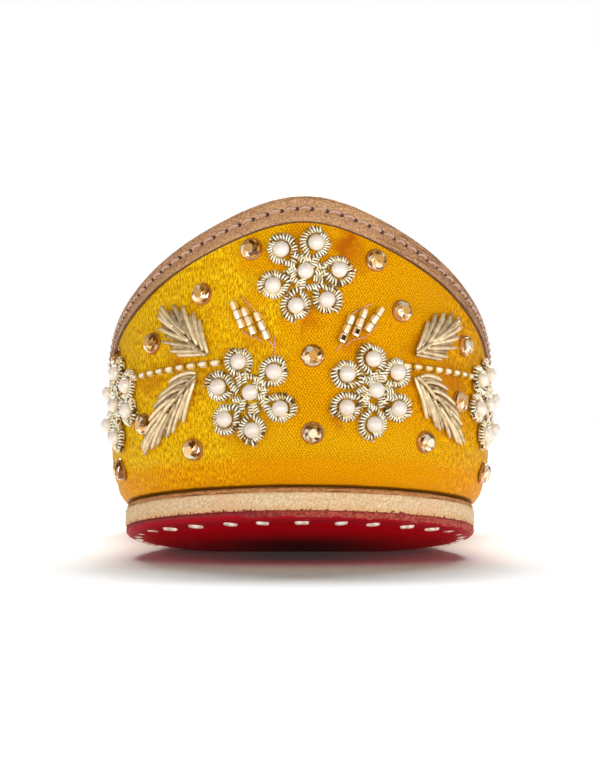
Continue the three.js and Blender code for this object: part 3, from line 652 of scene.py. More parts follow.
outside, under = BINDING_PROUD, BINDING_PROUD - BINDING_THICK
inside = -WALL - LAYER_GAP
lined = inside - BINDING_THICK
lip = BINDING_THICK - LAYER_GAP
face_down = np.array([4.7, 4.6, 4.3, 3.8, 3.2, 2.75, 2.45, 2.15, 1.7, 1.2])
face_out = outside + np.array([-0.16, -0.03, 0.02, 0.06, 0.02, -0.07, -0.14, -0.07, 0.02, 0.0])
fold = np.linspace(0, np.pi, 11)
fold_way = np.sign(np.cos(fold)) * np.abs(np.cos(fold)) ** TOP_SQUARE
fold_out = (outside + lined) / 2 + (outside - lined) / 2 * fold_way
fold_down = TOP_ROUND - TOP_ROUND * np.sin(fold) ** TOP_SQUARE
back_down = np.array([1.4, 2.2, 3.0, 3.8, 4.0, 4.0, 2.5, lip, lip, 2.5, 4.7])
back_out = np.array([lined] * 4 + [lined + 0.2] + [inside] * 3 + [under] * 3)
down = np.concatenate([face_down, fold_down, back_down])
points = topline(down, np.concatenate([face_out, fold_out, back_out]))

# Bronze-tan leather with a pearly finish: fine grain, a faint metallic glitter and paler rubbed high
# spots; on the right of the shoe it has creased along its length, with painted shade in the creases. A
# painted shadow darkens its cut lower edge.
bronze = new_material("bronze tan leather")
spot, strip = coordinates(bronze), coordinates(bronze, "UV")
grain = noise(spot, 0.00032, 5.0, 0.8)
tone = blend(ramp(grain, 0.38, 0.62), "#75481f", "#e4ae7c")
worn = blend(ramp(noise(spot, 0.007, 3.0), 0.4, 0.8, 0, 0.5), tone, "#cc9c70")
folds = ramp(noise(stretched(strip, 3.0, 0.32), 1.0, 2.0), 0.36, 0.52, 1, 0)
# painted shade: the creases on the right are darkened as well as dented
depth = work("MULTIPLY", ramp(component(spot, "X"), 0.009, 0.02, 0.12, 0.9, soft=True), folds)
# painted shadow: the cut lower edge is darkened where the strip meets the satin
cut = ramp(component(strip, "Y"), 4.4, 4.6, 0, 0.85)
sag = bump(depth, 0.5, 0.0004, invert=True)
surface(bronze, {
    "Base Color": blend(cut, blend(depth, worn, "#7c4c26"), "#4a2a12"),
    "Normal": bump(grain, 0.5, 0.0002, sag), "Roughness": 0.5, "Metallic": 0.15,
})

lies = np.broadcast_to(down, points.shape[:2])
binding = ring_piece("topline_binding", points, [bronze], True, lies)
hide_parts("binding")

# Binding seam. Brown thread in a close running stitch; each stitch dives into a needle hole at its end,
# which shows as a dark pit.
STITCH_GAP, SEAM_THREAD, SEAM_BOW, SEAM_STEPS = 0.22, 0.5, 0.3, 10
SEAM_DIP, SEAM_ARCH = 0.2, 0.27
seam = topline(SEAM_DOWN, outside)[:, 0]
seam_steps = np.linalg.norm(np.roll(seam, -1, 0) - seam, axis=1)
seam_at = np.concatenate([[0], np.cumsum(seam_steps)])
SEAM_COUNT = round(seam_at[-1] / SEAM_PITCH)


def along_seam(distance, rise):
    """Points so far along the seam and above the leather's face, by linear steps between its columns."""
    lift = off_wall(AROUND, level_up(AROUND, WALL_LENGTH - SEAM_DOWN), outside + 1.0) - seam
    distance = np.mod(distance, seam_at[-1])
    at, way = (
        np.stack([np.interp(distance, seam_at, np.append(row, row[0])) for row in track.T], -1)
        for track in (seam, lift))
    return at + np.asarray(rise)[..., None] * way, way


def two_toned(name, size, low, high, roughness):
    """A plain material, mottled between two colours by noise of this size in metres."""
    material = new_material(name)
    tone = blend(noise(coordinates(material), size, 2.0), low, high)
    surface(material, {"Base Color": tone, "Roughness": roughness})
    return material


# Waxed brown thread, a little pinker than the leather, shiny along the top of each stitch.
brown_thread = two_toned("brown seam thread", 0.0003, "#9c7260", "#dcb6a0", 0.4)

# The shaded inside of a needle hole.
needle_hole = two_toned("needle hole in leather", 0.0004, "#2c1715", "#54352a", 0.9)

pitch = seam_at[-1] / SEAM_COUNT
begin = (np.arange(SEAM_COUNT)[:, None] + 0.5) * pitch
way = np.linspace(0, 1, SEAM_STEPS)
distance = begin + STITCH_GAP * pitch + (1 - STITCH_GAP) * pitch * way
arch = -SEAM_DIP + SEAM_ARCH * np.sin(np.pi * way**1.25) ** 0.8 - SEAM_DIP * way**10
paths, ups = along_seam(distance, arch + np.zeros_like(distance))
bow = SEAM_BOW * np.sin(np.pi * way)[:, None] * unit(np.cross(ups, np.gradient(paths, axis=1)))
points, faces = tubes(paths + bow, ups, 0.5 * SEAM_THREAD * rounded(SEAM_STEPS, 0.4), 6)
seam_stitches = make_piece("binding_stitches", points, faces, [brown_thread])

hole, lift = along_seam(begin + pitch * 0.02, np.zeros_like(begin))
paths = hole + lift * np.array([-0.25, -0.1, -0.06])[None, :, None]
ahead = np.broadcast_to(unit(np.roll(hole, -1, 0) - hole), paths.shape)
points, faces = tubes(paths, ahead, np.array([0.3, 0.44, 0.38]), 8)
needle_holes = make_piece("binding_needle_holes", points, faces, [needle_hole])

# Flowers. Each petal is a pearl sewn down inside a loop of crimped gilt wire, coiled like a spring; the
# loops point to a middle pearl among short chips of the same coil.
PEARL_RADIUS, PEARL_FLAT, PEARL_SIDES, PEARL_LIFT = 1.36, 0.86, 20, 1.25
LOOP_RADIUS, COIL_RADIUS, CORE_SHARE, TURN_STEPS, CORE_SIDES = 1.98, 0.54, 0.66, 8, 6
GILT_WIRE, WIRE_SIDES = 0.165, 5
LOOP_TURNS, TIP_OUT, TIP_WIDE = (25, 29), 0.8, 0.35
CHIPS, CHIP_TURNS, CHIP_HALF, CHIP_RADIUS, CHIP_CORE = 15, 4, 0.9, 0.45, 0.34
VAMP = dict(around=PERIMETER / 2, up=60)
EVEN_PETALS = [(turn, 5.5) for turn in (30, 90, 150, 210, 270, 330)]
FLOWERS = {  # each petal as its turn from level and its reach from the middle
    "flower_back": dict(around=0.5, up=35.8, petals=[
        (3, 5.4), (70, 5.0), (137, 5.3), (204, 5.7), (255, 5.9), (306, 5.8)]),
    "flower_left": dict(around=-7.3, up=16.1, petals=[
        (41, 5.1), (111, 5.4), (170, 5.5), (225, 6.1), (273, 6.1), (332, 5.5)]),
    "flower_right": dict(around=11.3, up=16.7, petals=[
        (37, 4.8), (95, 5.1), (152, 5.5), (210, 5.7), (267, 5.6), (323, 5.0)]),
    "flower_side_left": dict(around=-36, up=16.6, petals=[
        (turn, 5.5) for turn in (36, 100, 158, 218, 275, 350)]),
    "flower_side_right": dict(around=38.4, up=17, petals=[
        (turn, 5.5) for turn in (8, 68, 130, 188, 248, 308)]),
    "flower_vamp": dict(VAMP, rise=8, petals=EVEN_PETALS),
    "flower_vamp_right": dict(VAMP, across=-14, rise=-9, petals=EVEN_PETALS),
    "flower_vamp_left": dict(VAMP, across=14, rise=-9, petals=EVEN_PETALS),
}


def on_satin(around, up, across=0.0, rise=0.0):
    """Point, side, above and normal of the satin at places moved over it: repeated steps, each along
    the face as it lies, bring the place as near as it comes to the start moved in its own plane."""
    across, rise = np.broadcast_arrays(np.asarray(across, float), np.asarray(rise, float))
    shape = across.shape
    across, rise = across.reshape(-1, 1), rise.reshape(-1, 1)
    around = np.full(len(across), float(around))
    level = level_up(around[:1], np.array([float(up)])) + np.zeros(len(across))
    point, side, above, _ = wall_lie(around, level)
    goal = point + across * side + rise * above
    for _ in range(14):
        point, _, _, normal = wall_lie(around, level)
        miss = goal - point
        farther = (wall(around + AROUND_STEP, level) - point) / AROUND_STEP
        higher = (wall(around, level + LEVEL_STEP) - point) / LEVEL_STEP
        area = (np.cross(farther, higher) * normal).sum(-1)
        around = around + 0.8 * (np.cross(miss, higher) * normal).sum(-1) / area
        level = level + 0.8 * (np.cross(farther, miss) * normal).sum(-1) / area
    return [v.reshape(shape + (3,)) for v in wall_lie(around, level)]


def coil(path, side, normal, radius, turns, rng):
    """Mesh and tones of a wire wound round a path: path + radius * (cos * (side + 0.45 * tangent) + 0.8 *
    sin * normal) while the angle makes so many turns, each with a size, a lag and a tone of painted glint
    and shade of its own."""
    done = np.linspace(0, turns, len(path))
    size = np.interp(done, np.arange(turns + 1), radius * rng.uniform(0.8, 1.18, turns + 1))[:, None]
    lag = np.interp(2 * done, np.arange(2 * turns + 1), rng.uniform(-0.6, 0.6, 2 * turns + 1))
    angle = (2 * np.pi * done + lag)[:, None]
    tangent = unit(np.gradient(path, axis=0))
    way = np.cos(angle) * (side + 0.45 * tangent) + 0.8 * np.sin(angle) * normal
    mesh = tubes((path + size * way)[None], way[None], GILT_WIRE, WIRE_SIDES)
    of_turn = np.minimum(done[:-1].astype(int), turns - 1)
    # painted glints and shade: each turn's tone is brighter on the side it faces
    facing = rng.uniform(0.9, 2.2, turns)[of_turn]
    glint = rng.choice([0.2, 0.7, 0.95], turns, p=[0.12, 0.26, 0.62])[of_turn]
    glint = glint + 0.3 * np.cos(angle[:-1, 0] - facing)
    glint += rng.choice([-0.4, 0.0, 0.2], len(glint), p=[0.25, 0.4, 0.35])
    return mesh, np.append(np.repeat(glint, WIRE_SIDES), [0.5, 0.5])


def merged(blocks):
    """Points and faces of several meshes as one, and the number of faces that each brought."""
    starts = np.cumsum([0] + [len(points) for points, _ in blocks])
    faces = [face + start for (_, many), start in zip(blocks, starts) for face in many]
    counts = [sum(len(face) for face in many) for _, many in blocks]
    return np.concatenate([points for points, _ in blocks]), faces, counts


def face_tone(material):
    """The brightness that each face carries, mostly painted glints, shade and reflection."""
    return add(material.node_tree, "ShaderNodeAttribute", {}, "Fac", attribute_name="tone")


def glinting(name, plain_at, flash_at, dark, plain, flash, sockets):
    """A material with painted sparkle: its colour follows each face's tone, from painted shade through
    plain to a painted flash.
    """
    material = new_material(name)
    glint = face_tone(material)
    body = blend(ramp(glint, 0, plain_at), dark, plain)
    surface(material, {"Base Color": blend(ramp(glint, plain_at, flash_at), body, flash), **sockets})
    return material


# Gilt wire, crimped flat: pale gold, each bend of it painted with a white glint or dark shade by how it
# faces.
gilt = glinting("pale gilt wire", 0.6, 1.0, "#644418", "#f8d694", "#fffae2", {
    "Metallic": 0.2, "Roughness": 0.16, "Specular IOR Level": 0.8,
})

# The shaded inside of a coil and the threads that hold it.
coil_core = two_toned("shaded coil core", 0.0004, "#46300f", "#80622c", 0.6)

# Moulded pearl bead: milky cream under a lacquered sheen, made yellower round its sides by a painted
# reflection of the gilt.
pearl = new_material("lacquered pearl bead")
milk = blend(noise(coordinates(pearl), 0.003, 2.0), "#e9dacc", "#f1e6de")
surface(pearl, {
    "Base Color": blend(face_tone(pearl), "#f2deba", milk), "Roughness": 0.3,
    "Coat Weight": 0.6, "Coat Roughness": 0.12, "Coat IOR": 1.7,
    "Subsurface Weight": 0.9, "Subsurface Radius": (1.0, 0.9, 0.75), "Subsurface Scale": 0.0012,
})


def flower(name, around, up, petals, across=0.0, rise=0.0):
    """Pearls, coil loops, their cores and the chips of one flower as one piece. A loop is a circle round
    its pearl, opened a little as it turns and drawn out to a tip towards the flower's middle."""
    rng = np.random.default_rng(sum(name.encode()))
    angle, reach = np.array(petals).T
    angle = np.radians(angle)
    sideways = np.append(across + reach * np.cos(angle), across)
    upwards = np.append(rise + reach * np.sin(angle), rise)
    point, side, above, normal = on_satin(around, up, sideways, upwards)
    polar = np.linspace(0.25, np.pi - 0.12, 13)
    lift = PEARL_LIFT - PEARL_RADIUS * PEARL_FLAT * np.cos(polar)
    paths = point[:, None] + lift[:, None] * normal[:, None]
    ups = np.broadcast_to(above[:, None], paths.shape)
    blocks = [tubes(paths, ups, PEARL_RADIUS * np.sin(polar), PEARL_SIDES)]
    # painted reflection: the tone keeps the top of each pearl milky and its sides yellower
    crown = np.clip((polar[:-1] + polar[1:]) / 2 / 1.1 - 1.2, 0, 1)
    crown = np.tile(np.repeat(crown, PEARL_SIDES), len(point))
    tones = [np.append(crown, np.repeat([0.0, 1.0], len(point)))]

    def wind(path, out, i, radius, core, turns):
        """Add a coil round a path, and its core."""
        wound, glint = coil(path, out, normal[i], radius, turns, rng)
        line = path[None, ::TURN_STEPS]
        blocks.extend([wound, tubes(line, np.broadcast_to(normal[i], line.shape), core, CORE_SIDES)])
        tones.extend([glint, np.zeros(CORE_SIDES * turns + 2)])

    for i in range(len(petals)):
        turns = int(rng.integers(*LOOP_TURNS))
        turn = np.linspace(0, 2 * np.pi, turns * TURN_STEPS + 1)
        tip = TIP_OUT * np.exp(-((np.angle(np.exp(1j * (turn - np.pi))) / TIP_WIDE) ** 2))
        heading = turn + angle[i] + rng.uniform(-0.15, 0.15)
        out = np.cos(heading)[:, None] * side[i] + np.sin(heading)[:, None] * above[i]
        wide = LOOP_RADIUS * rng.uniform(0.93, 1.03) + rng.choice([-0.3, 0.3]) * (turn / np.pi - 1)
        path = point[i] + (wide + tip)[:, None] * out + (COIL_RADIUS + GILT_WIRE) * normal[i]
        wind(path, out, i, COIL_RADIUS, CORE_SHARE * COIL_RADIUS, turns)
    spread = np.linspace(0, 2 * np.pi, CHIPS, endpoint=False) + rng.uniform(-0.25, 0.25, CHIPS)
    for heading in spread:
        out = np.cos(heading) * side[-1] + np.sin(heading) * above[-1]
        lean = heading + rng.choice([0.3, 1.57, -0.4]) + rng.uniform(-0.3, 0.3)
        along = np.cos(lean) * side[-1] + np.sin(lean) * above[-1]
        middle = point[-1] + rng.uniform(1.9, 2.9) * out + rng.uniform(0.6, 1.1) * normal[-1]
        path = middle + np.linspace(-CHIP_HALF, CHIP_HALF, CHIP_TURNS * TURN_STEPS + 1)[:, None] * along
        wind(path, np.cross(along, normal[-1]), -1, CHIP_RADIUS, CHIP_CORE, CHIP_TURNS)
    points, faces, counts = merged(blocks)
    paints = [2] + [0, 1] * (len(petals) + CHIPS)
    piece = make_piece(
        name + "_beadwork", points, faces, [gilt, coil_core, pearl], paint=np.repeat(paints, counts),
        tone=np.concatenate(tones))
    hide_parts(name)


for name, spot in FLOWERS.items():
    flower(name, **spot)

# Leaves. Cut lengths of smooth bullion wire laid side by side in a herringbone from a midrib, each sewn
# down by a thread through its bore.
BULLION_RADIUS, BULLION_SIDES, WIRE_STEPS = 0.34, 7, 10
LENGTH_LIFT, LENGTH_ARCH, RIB_CLEAR = 0.3, 0.3, 0.18
LOW_SHORTER, LOW_NARROWER, LOW_SUNK, LOW_PAINTED_SHADE = 0.14, 0.86, 0.26, 0.42
BROAD = dict(fullest=0.5, climb=0.42, curved=0)
SLIM = dict(fullest=0.34, climb=0.56)
LEAVES = {
    "leaf_left_upper": dict(BROAD, around=-19.4, up=27, turn=144, long=13.9, wide=7.6),
    "leaf_left_lower": dict(SLIM, around=-21.9, up=13.3, turn=226, long=18.5, wide=6.8, curved=-1),
    "leaf_right_upper": dict(BROAD, around=23.6, up=26.6, turn=25, long=13.7, wide=7.4),
    "leaf_right_lower": dict(SLIM, around=23.8, up=14.2, turn=316, long=16.6, wide=6.8, curved=1),
    "leaf_vamp_right_upper": dict(VAMP, **BROAD, across=-15, rise=5.5, turn=150, long=12, wide=6),
    "leaf_vamp_left_upper": dict(VAMP, **BROAD, across=15, rise=5.5, turn=30, long=12, wide=6),
    "leaf_vamp_right_lower": dict(
        VAMP, **SLIM, across=-5.5, rise=-16.2, turn=252, long=13, wide=4.6, curved=-1),
    "leaf_vamp_left_lower": dict(
        VAMP, **SLIM, across=5.5, rise=-16.2, turn=288, long=13, wide=4.6, curved=1),
}

# Bullion: a tight spring of fine gilt wire, beige silver-gold and silky, glinting unevenly along its
# length.
bullion = new_material("beige gold bullion")
tarnish = ramp(noise(coordinates(bullion), 0.001, 4.0), 0.35, 0.65, -0.2, 0.2)
lit = work("ADD", face_tone(bullion), tarnish, use_clamp=True)
surface(bullion, {"Base Color": blend(lit, "#6c441a", "#ffe6b8"), "Metallic": 0.4, "Roughness": 0.34})


def leaf(name, around, up, turn, long, wide, fullest, climb, curved, across=0.0, rise=0.0):
    """Bullion lengths fanned from a midrib to a pointed outline, whose half width is the sine of a power
    of the distance along. Lengths begin up to climb along the midrib; the curved side's bend out quickly
    by a root of the way. Shorter lengths lie low between them, and three end to end make the midrib."""
    rng = np.random.default_rng(sum(name.encode()))
    each = 5 if curved == 0 else 6
    order = np.tile(np.linspace(0, 1, each), 2)
    hand = np.repeat([1.0, -1.0], each)
    bent = hand == curved
    first = np.where(bent, 0.27, 0.36 if curved == 0 else 0.42)
    tip = first + (0.97 - first) * order + rng.uniform(-0.04, 0.04, 2 * each)
    begin = 0.02 + climb * order**1.2 + 0.02 * hand
    half = wide / 2 * np.sin(np.pi * np.clip(tip, 0, 0.985) ** (np.log(0.5) / np.log(fullest))) ** 0.8
    between = np.r_[0:each - 1, each:2 * each - 1]
    begin, tip, half = (np.append(v, (v[between] + v[between + 1]) / 2) for v in (begin, tip, half))
    tip[2 * each:] -= LOW_SHORTER * (tip - begin)[2 * each:]
    half[2 * each:] *= LOW_NARROWER
    hand, bent = np.append(hand, hand[between]), np.append(bent, bent[between])
    way = np.linspace(0, 1, WIRE_STEPS)
    ease = way[None] ** np.where(bent, 0.55, 0.92)[:, None]
    ahead = long * (begin[:, None] + (tip - begin)[:, None] * way - 0.5)
    beside = hand[:, None] * (RIB_CLEAR + (half[:, None] - RIB_CLEAR) * ease)
    beside = beside + rng.uniform(-0.12, 0.12, (len(half), 1))
    rib = np.array([0, 0.3, 0.6])[:, None] + 0.34 * way
    ahead = np.vstack([ahead, long * (rib - 0.5)])
    sway = 0.3 * np.sin(np.pi * rib) * (curved or 0.5) + rng.uniform(-0.15, 0.15, (3, 1))
    beside = np.vstack([beside, sway])
    heading = np.radians(turn)
    sideways = across + ahead * np.cos(heading) - beside * np.sin(heading)
    upwards = rise + ahead * np.sin(heading) + beside * np.cos(heading)
    point, _, _, normal = on_satin(around, up, sideways, upwards)
    low = np.full(len(between), -LOW_SUNK)
    pile = np.concatenate([rng.uniform(0.0, 0.3, 2 * each), low, [0.55, 0.5, 0.45]])
    lying = LENGTH_LIFT + BULLION_RADIUS + LENGTH_ARCH * np.sin(np.pi * way)
    lying = lying + pile[:, None] * (1 - 0.6 * way)
    paths = point + lying[..., None] * normal
    points, faces = tubes(paths, normal, BULLION_RADIUS * rounded(WIRE_STEPS, 0.85), BULLION_SIDES)
    glint = np.clip(rng.normal(0.8, 0.16, len(paths)), 0.3, 1)
    # painted shade: the low lengths lying between the others are darkened
    glint[2 * each:-3] -= LOW_PAINTED_SHADE
    # painted shade: the cut ends are darker, as the hollow of the bore
    tone = np.append(np.repeat(glint, BULLION_SIDES * (WIRE_STEPS - 1)), np.tile(0.4 * glint, 2))
    piece = make_piece(name + "_bullion", points, faces, [bullion], tone=tone)
    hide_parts(name)


for name, spot in LEAVES.items():
    leaf(name, **spot)

# Stems and sprigs. Short square-bored glass beads lined with silver, threaded end to end and sewn down.
STEM_BEAD, STEM_RADIUS, STEM_ENDS = 1.85, 0.56, 0.48
SPRIG_BEAD, SPRIG_RADIUS, SPRIG_ENDS, SPRIG_PITCH = 1.5, 0.66, 0.82, 1.62
BEAD_LIFT = 0.25
STEMS = {
    "stem_left": dict(begin=(-11.8, 21.3), end=(-30.2, 20.3), beads=9),
    "stem_right": dict(begin=(15.3, 21.0), end=(31.8, 20.8), beads=8),
}
SPRIGS = {
    "sprig_left_outer": dict(around=-9.5, up=28.9, turn=113),
    "sprig_left_middle": dict(around=-7.75, up=27.75, turn=113),
    "sprig_left_inner": dict(around=-5.75, up=26.9, turn=115),
    "sprig_right_inner": dict(around=6.75, up=26.45, turn=66, dark=[0]),
    "sprig_right_middle": dict(around=8.75, up=27.55, turn=67, dark=[0]),
    "sprig_right_outer": dict(around=11, up=28.2, turn=53),
}

# Silver-lined glass: the cut face towards you has a painted white highlight, the ones beside it are straw
# gold, and painted shade makes the rest brown.
lined_glass = glinting("silver lined cut glass", 0.5, 1.0, "#38220a", "#f2b83e", "#fffcf0", {
    "Metallic": 0.1, "Roughness": 0.15, "Coat Weight": 0.4, "Coat Roughness": 0.03,
})


def bead_row(name, middle, axis, normal, long, radius, ends, dark=()):
    """Six-sided beads, one at each middle and lying along its axis: the face on top has a painted
    highlight, or shows the bore in the dark ones, the faces beside it are straw gold, and painted shade
    makes the lower faces brown and the ends dimmer by a factor."""
    rng = np.random.default_rng(sum(name.encode()))
    way = np.array([-0.5, -0.3, 0.3, 0.5]) * long
    paths = middle[:, None] + way[:, None] * axis[:, None] + (radius + BEAD_LIFT) * normal[:, None]
    ups = np.broadcast_to(normal[:, None], paths.shape)
    points, faces = tubes(paths, ups, radius * np.array([0.95, 1, 1, 0.95]), 6)
    # painted light: a highlight on the top face, and shade on the lower faces
    face = np.array([0.62, 1.0, 0.66, 0.35, 0.2, 0.35])
    bead = rng.choice([1.0, 0.95, 0.85], len(middle))[:, None, None]
    # painted shade: the ends are dimmer by the ends factor
    glint = face * bead * np.array([ends, 1.0, ends])[:, None] + rng.normal(0, 0.05, (len(middle), 3, 6))
    glint[list(dark), 1, 1] = 0
    tone = np.append(glint, np.full(2 * len(middle), 0.3))
    piece = make_piece(name + "_beads", points, faces, [lined_glass], tone=tone, flat=True)
    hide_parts(name)


def satin_route(around, up):
    """Points and normals of the satin at places given as around and up."""
    point, _, _, normal = wall_lie(around, level_up(around, up))
    return point, normal


for name, stem in STEMS.items():
    route, normal = satin_route(*np.linspace(stem["begin"], stem["end"], 2 * stem["beads"] + 1).T)
    ahead = unit(route[2::2] - route[:-2:2])
    bead_row(name, route[1::2], ahead, normal[1::2], STEM_BEAD, STEM_RADIUS, STEM_ENDS)
for name, sprig in SPRIGS.items():
    heading = np.radians(sprig["turn"])
    way = np.array([-1.0, 0.0, 1.0]) * SPRIG_PITCH
    point, side, above, normal = on_satin(
        sprig["around"], sprig["up"], way * np.cos(heading), way * np.sin(heading))
    ahead = np.cos(heading) * side + np.sin(heading) * above
    bead_row(name, point, ahead, normal, SPRIG_BEAD, SPRIG_RADIUS, SPRIG_ENDS, sprig.get("dark", ()))

# Sewing threads. Thin pink copper thread that carries the beads and shows where it passes over the satin
# from one sprig to the next.
SEWING_THREAD = 0.24
THREADS = [  # each as its places, around and up
    [(-9.2, 31.9), (-8.0, 30.7), (-7.0, 29.4)],
    [(-9.0, 26.3), (-8.0, 25.6), (-7.2, 25.2), (-6.5, 25.0), (-6.0, 24.5)],
    [(-4.8, 24.7), (-4.2, 23.8), (-3.8, 23.0), (-3.8, 22.2)],
    [(-4.0, 25.3), (-3.8, 23.9), (-3.8, 22.7)],
    [(7.5, 29.0), (9.0, 29.9), (10.8, 30.9)],
    [(6.2, 24.5), (5.8, 23.4), (5.2, 22.9)],
    [(6.8, 23.8), (7.5, 24.6), (8.5, 25.0), (9.8, 25.3), (10.5, 26.0), (11.8, 27.5)],
]

# Copper-pink rayon: a thin shiny thread.
copper_thread = two_toned("copper pink thread", 0.0006, "#c8713f", "#f2bfa4", 0.4)

blocks = []
for places in THREADS:
    way = np.linspace(0, len(places) - 1, 6 * len(places))
    point, normal = satin_route(*(np.interp(way, np.arange(len(places)), v) for v in np.array(places).T))
    path = point + (0.2 + 0.15 * np.sin(3 * way))[:, None] * normal
    blocks.append(tubes(path[None], normal[None], 0.5 * SEWING_THREAD, 5))
points, faces, _ = merged(blocks)
sewing_threads = make_piece("sewing_threads", points, faces, [copper_thread])

# Stones. Flat-backed faceted glass, foiled behind and glued down; each sits in a thin ring of clear glue.
STONE_RADIUS, STONE_HEIGHT, STONE_LIFT, STONE_SIDES = 1.95, 1.3, 0.3, 12
FILM_LIFT, FILM_SIDES = 0.02, 16
STONES = {  # around and up, or across and rise from the middle of the vamp
    "stone_middle_upper": (1.8, 22), "stone_middle_lower": (1.9, 9.4),
    "stone_left_top": (-8, 39.8), "stone_left_high": (-16, 32.9), "stone_left_leaf": (-26, 25.8),
    "stone_left_tip": (-27.6, 12.4), "stone_left_low": (-17.3, 7.3),
    "stone_left_side_high": (-40, 25.2), "stone_left_side_low": (-37, 5.7),
    "stone_right_top": (11.6, 38.2), "stone_right_high": (16.1, 30.1), "stone_right_leaf": (30.8, 26),
    "stone_right_tip": (28.5, 16.2), "stone_right_low": (20.8, 8.8), "stone_right_side_low": (40, 5.5),
    "stone_vamp_middle": (0, -5), "stone_vamp_toe": (0, -25),
    "stone_vamp_right_high": (-10, 13), "stone_vamp_left_high": (10, 13),
    "stone_vamp_right_low": (-14, -21), "stone_vamp_left_low": (14, -21),
}

# Foiled champagne glass: facets with painted glints and shade, each of its own depth of straw brown.
champagne = glinting("foiled champagne glass", 0.65, 0.95, "#6e3a08", "#f4b458", "#fff6dc", {
    "Metallic": 0.4, "Roughness": 0.12, "Coat Weight": 1.0, "Coat Roughness": 0.03,
})

# Dried glue: a thin glassy amber film round the foot of the stone.
glue = two_toned("amber glue film", 0.0015, "#925010", "#c47a1c", 0.2)
surface(glue, {"Coat Weight": 0.5})


def stone(name, around, up, across=0.0, rise=0.0):
    """A ring of glue, and a crown whose rings of corners are turned by half a step to give facets; painted
    shade makes facets that face up and left darker, and painted glints make those that face down and right
    brighter."""
    rng = np.random.default_rng(sum(name.encode()))
    point, _, above, normal = on_satin(around, up, [across], [rise])
    ups = np.broadcast_to(above[:, None], (1, 5, 3))
    lift = STONE_LIFT + STONE_HEIGHT * np.array([0, 0.3, 0.62, 0.88, 0.94])
    crown = STONE_RADIUS * np.array([0.86, 0.86, 0.72, 0.42, 0.37])
    spin = rng.uniform(0, 0.7) + np.pi / STONE_SIDES * np.array([0, 0, 1, 2, 2])
    blocks = [tubes(point[:, None] + lift[:, None] * normal[:, None], ups, crown, STONE_SIDES, spin)]
    lift = FILM_LIFT + np.array([0.0, 0.12, 0.28, 0.32, 0.33])
    film = STONE_RADIUS * np.array([1.0, 0.98, 0.94, 0.85, 0.5])
    blocks.append(tubes(point[:, None] + lift[:, None] * normal[:, None], ups, film, FILM_SIDES))
    points, faces, counts = merged(blocks)
    facing = 2 * np.pi * (np.arange(STONE_SIDES) + 0.5) / STONE_SIDES
    # painted shade and glints: facets darker facing up and left, brighter facing down and right
    depth = np.array([0.18, 0.38, 0.52, 0.65])[:, None] + 0.35 * np.cos(facing + 0.8)
    depth = depth + rng.normal(0, 0.38, (4, STONE_SIDES))
    tone = np.concatenate([depth.ravel(), [0.2, rng.uniform(0.55, 0.9)], np.zeros(counts[1])])
    piece = make_piece(
        name + "_glass", points, faces, [champagne, glue], paint=np.repeat([0, 1], counts), tone=tone,
        flat=True)
    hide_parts(name)


for name, spot in STONES.items():
    stone(name, *(VAMP.values() if "vamp" in name else ()), *spot)

# Setting. A pale floor that runs on into a pale room. Two soft suns over the toe throw the shadow
# towards the camera, which is close behind the heel and level with it; a low window and a snooted lamp
# behind the camera light the heel.
CAMERA_BACK, CAMERA_HEIGHT = 500, 23
PHOTO_HEIGHT, FOCAL_PIXELS, HORIZON_DROP = 767, 3050, 42.5
FLOOR_HALF = 30
SUN_TILT, SUN_TURN = -0.86, 0.22

pale_floor = new_material("pale matt floor")
surface(pale_floor, {"Base Color": "#fbfbfb", "Roughness": 0.9})
mesh = bpy.data.meshes.new("floor")
corners = [(x * FLOOR_HALF, y * FLOOR_HALF, 0) for x, y in ((-1, -1), (1, -1), (1, 1), (-1, 1))]
mesh.from_pydata(corners, [], [(0, 1, 2, 3)])
mesh.materials.append(pale_floor)
floor = bpy.data.objects.new("floor", mesh)
bpy.context.collection.objects.link(floor)

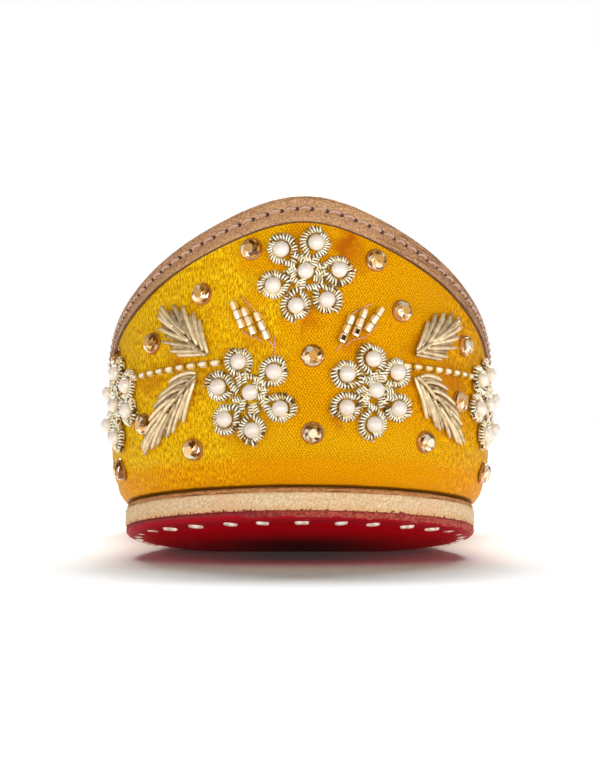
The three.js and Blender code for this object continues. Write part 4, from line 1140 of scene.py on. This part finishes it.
# The room is white where it is seen, but lights the shoe mostly from high up over the toe and the sides.
room = bpy.data.worlds.new("pale room")
room.use_nodes = True
way = coordinates(room, "Generated")
high = ramp(component(way, "Z"), 0.1, 0.9, 0.08, 0.5)
over_toe = work("MULTIPLY", high, ramp(component(way, "Y"), -0.2, 0.7, 0.12, 1.0, soft=True))
sides = ramp(work("ABSOLUTE", component(way, "X")), 0.5, 0.95, 0, 0.3, soft=True)
seen = add(room.node_tree, "ShaderNodeLightPath", {}, "Is Camera Ray")
glow = towards(seen, work("ADD", over_toe, sides), 1.0)
plug(room.node_tree.nodes["Background"], {"Color": glow, "Strength": 1.0})
bpy.context.scene.world = room


def add_light(name, kind, turn=None, place=(0, 0, 0), aim=None, **settings):
    """A light with its settings, turned by angles or aimed from its place at a point."""
    light = bpy.data.lights.new(name, kind)
    for setting, value in settings.items():
        setattr(light, setting, value)
    lamp = bpy.data.objects.new(name, light)
    lamp.location = place
    lamp.rotation_euler = turn or (Vector(aim) - Vector(place)).to_track_quat("-Z", "Y").to_euler()
    bpy.context.collection.objects.link(lamp)


heel = HEEL_BACK / 1000
add_light(
    "low front window", "AREA", place=(0.2, heel - 1.2, 0.045), aim=(0, heel, 0.03),
    shape="RECTANGLE", size=3.0, size_y=0.085, energy=16.5)
add_light(
    "snooted lamp", "SPOT", place=(0.0, heel - 0.75, 0.75), aim=(0, heel, 0.042),
    energy=22, spot_size=0.084, spot_blend=0.25, shadow_soft_size=0.14)
for turn in (-SUN_TURN, SUN_TURN):
    add_light("skylight", "SUN", turn=(SUN_TILT, 0, turn), energy=2.4, angle=0.45)

camera = bpy.data.cameras.new("camera")
camera.sensor_fit = "AUTO"
camera.lens = FOCAL_PIXELS / PHOTO_HEIGHT * camera.sensor_width
camera.clip_start = 0.01
viewer = bpy.data.objects.new("camera", camera)
viewer.location = (0, (HEEL_BACK - CAMERA_BACK) / 1000, CAMERA_HEIGHT / 1000)
viewer.rotation_euler = (np.pi / 2 + np.arctan(HORIZON_DROP / FOCAL_PIXELS), 0, 0)
bpy.context.collection.objects.link(viewer)
bpy.context.scene.camera = viewer
bpy.context.scene.view_settings.view_transform = "Standard"
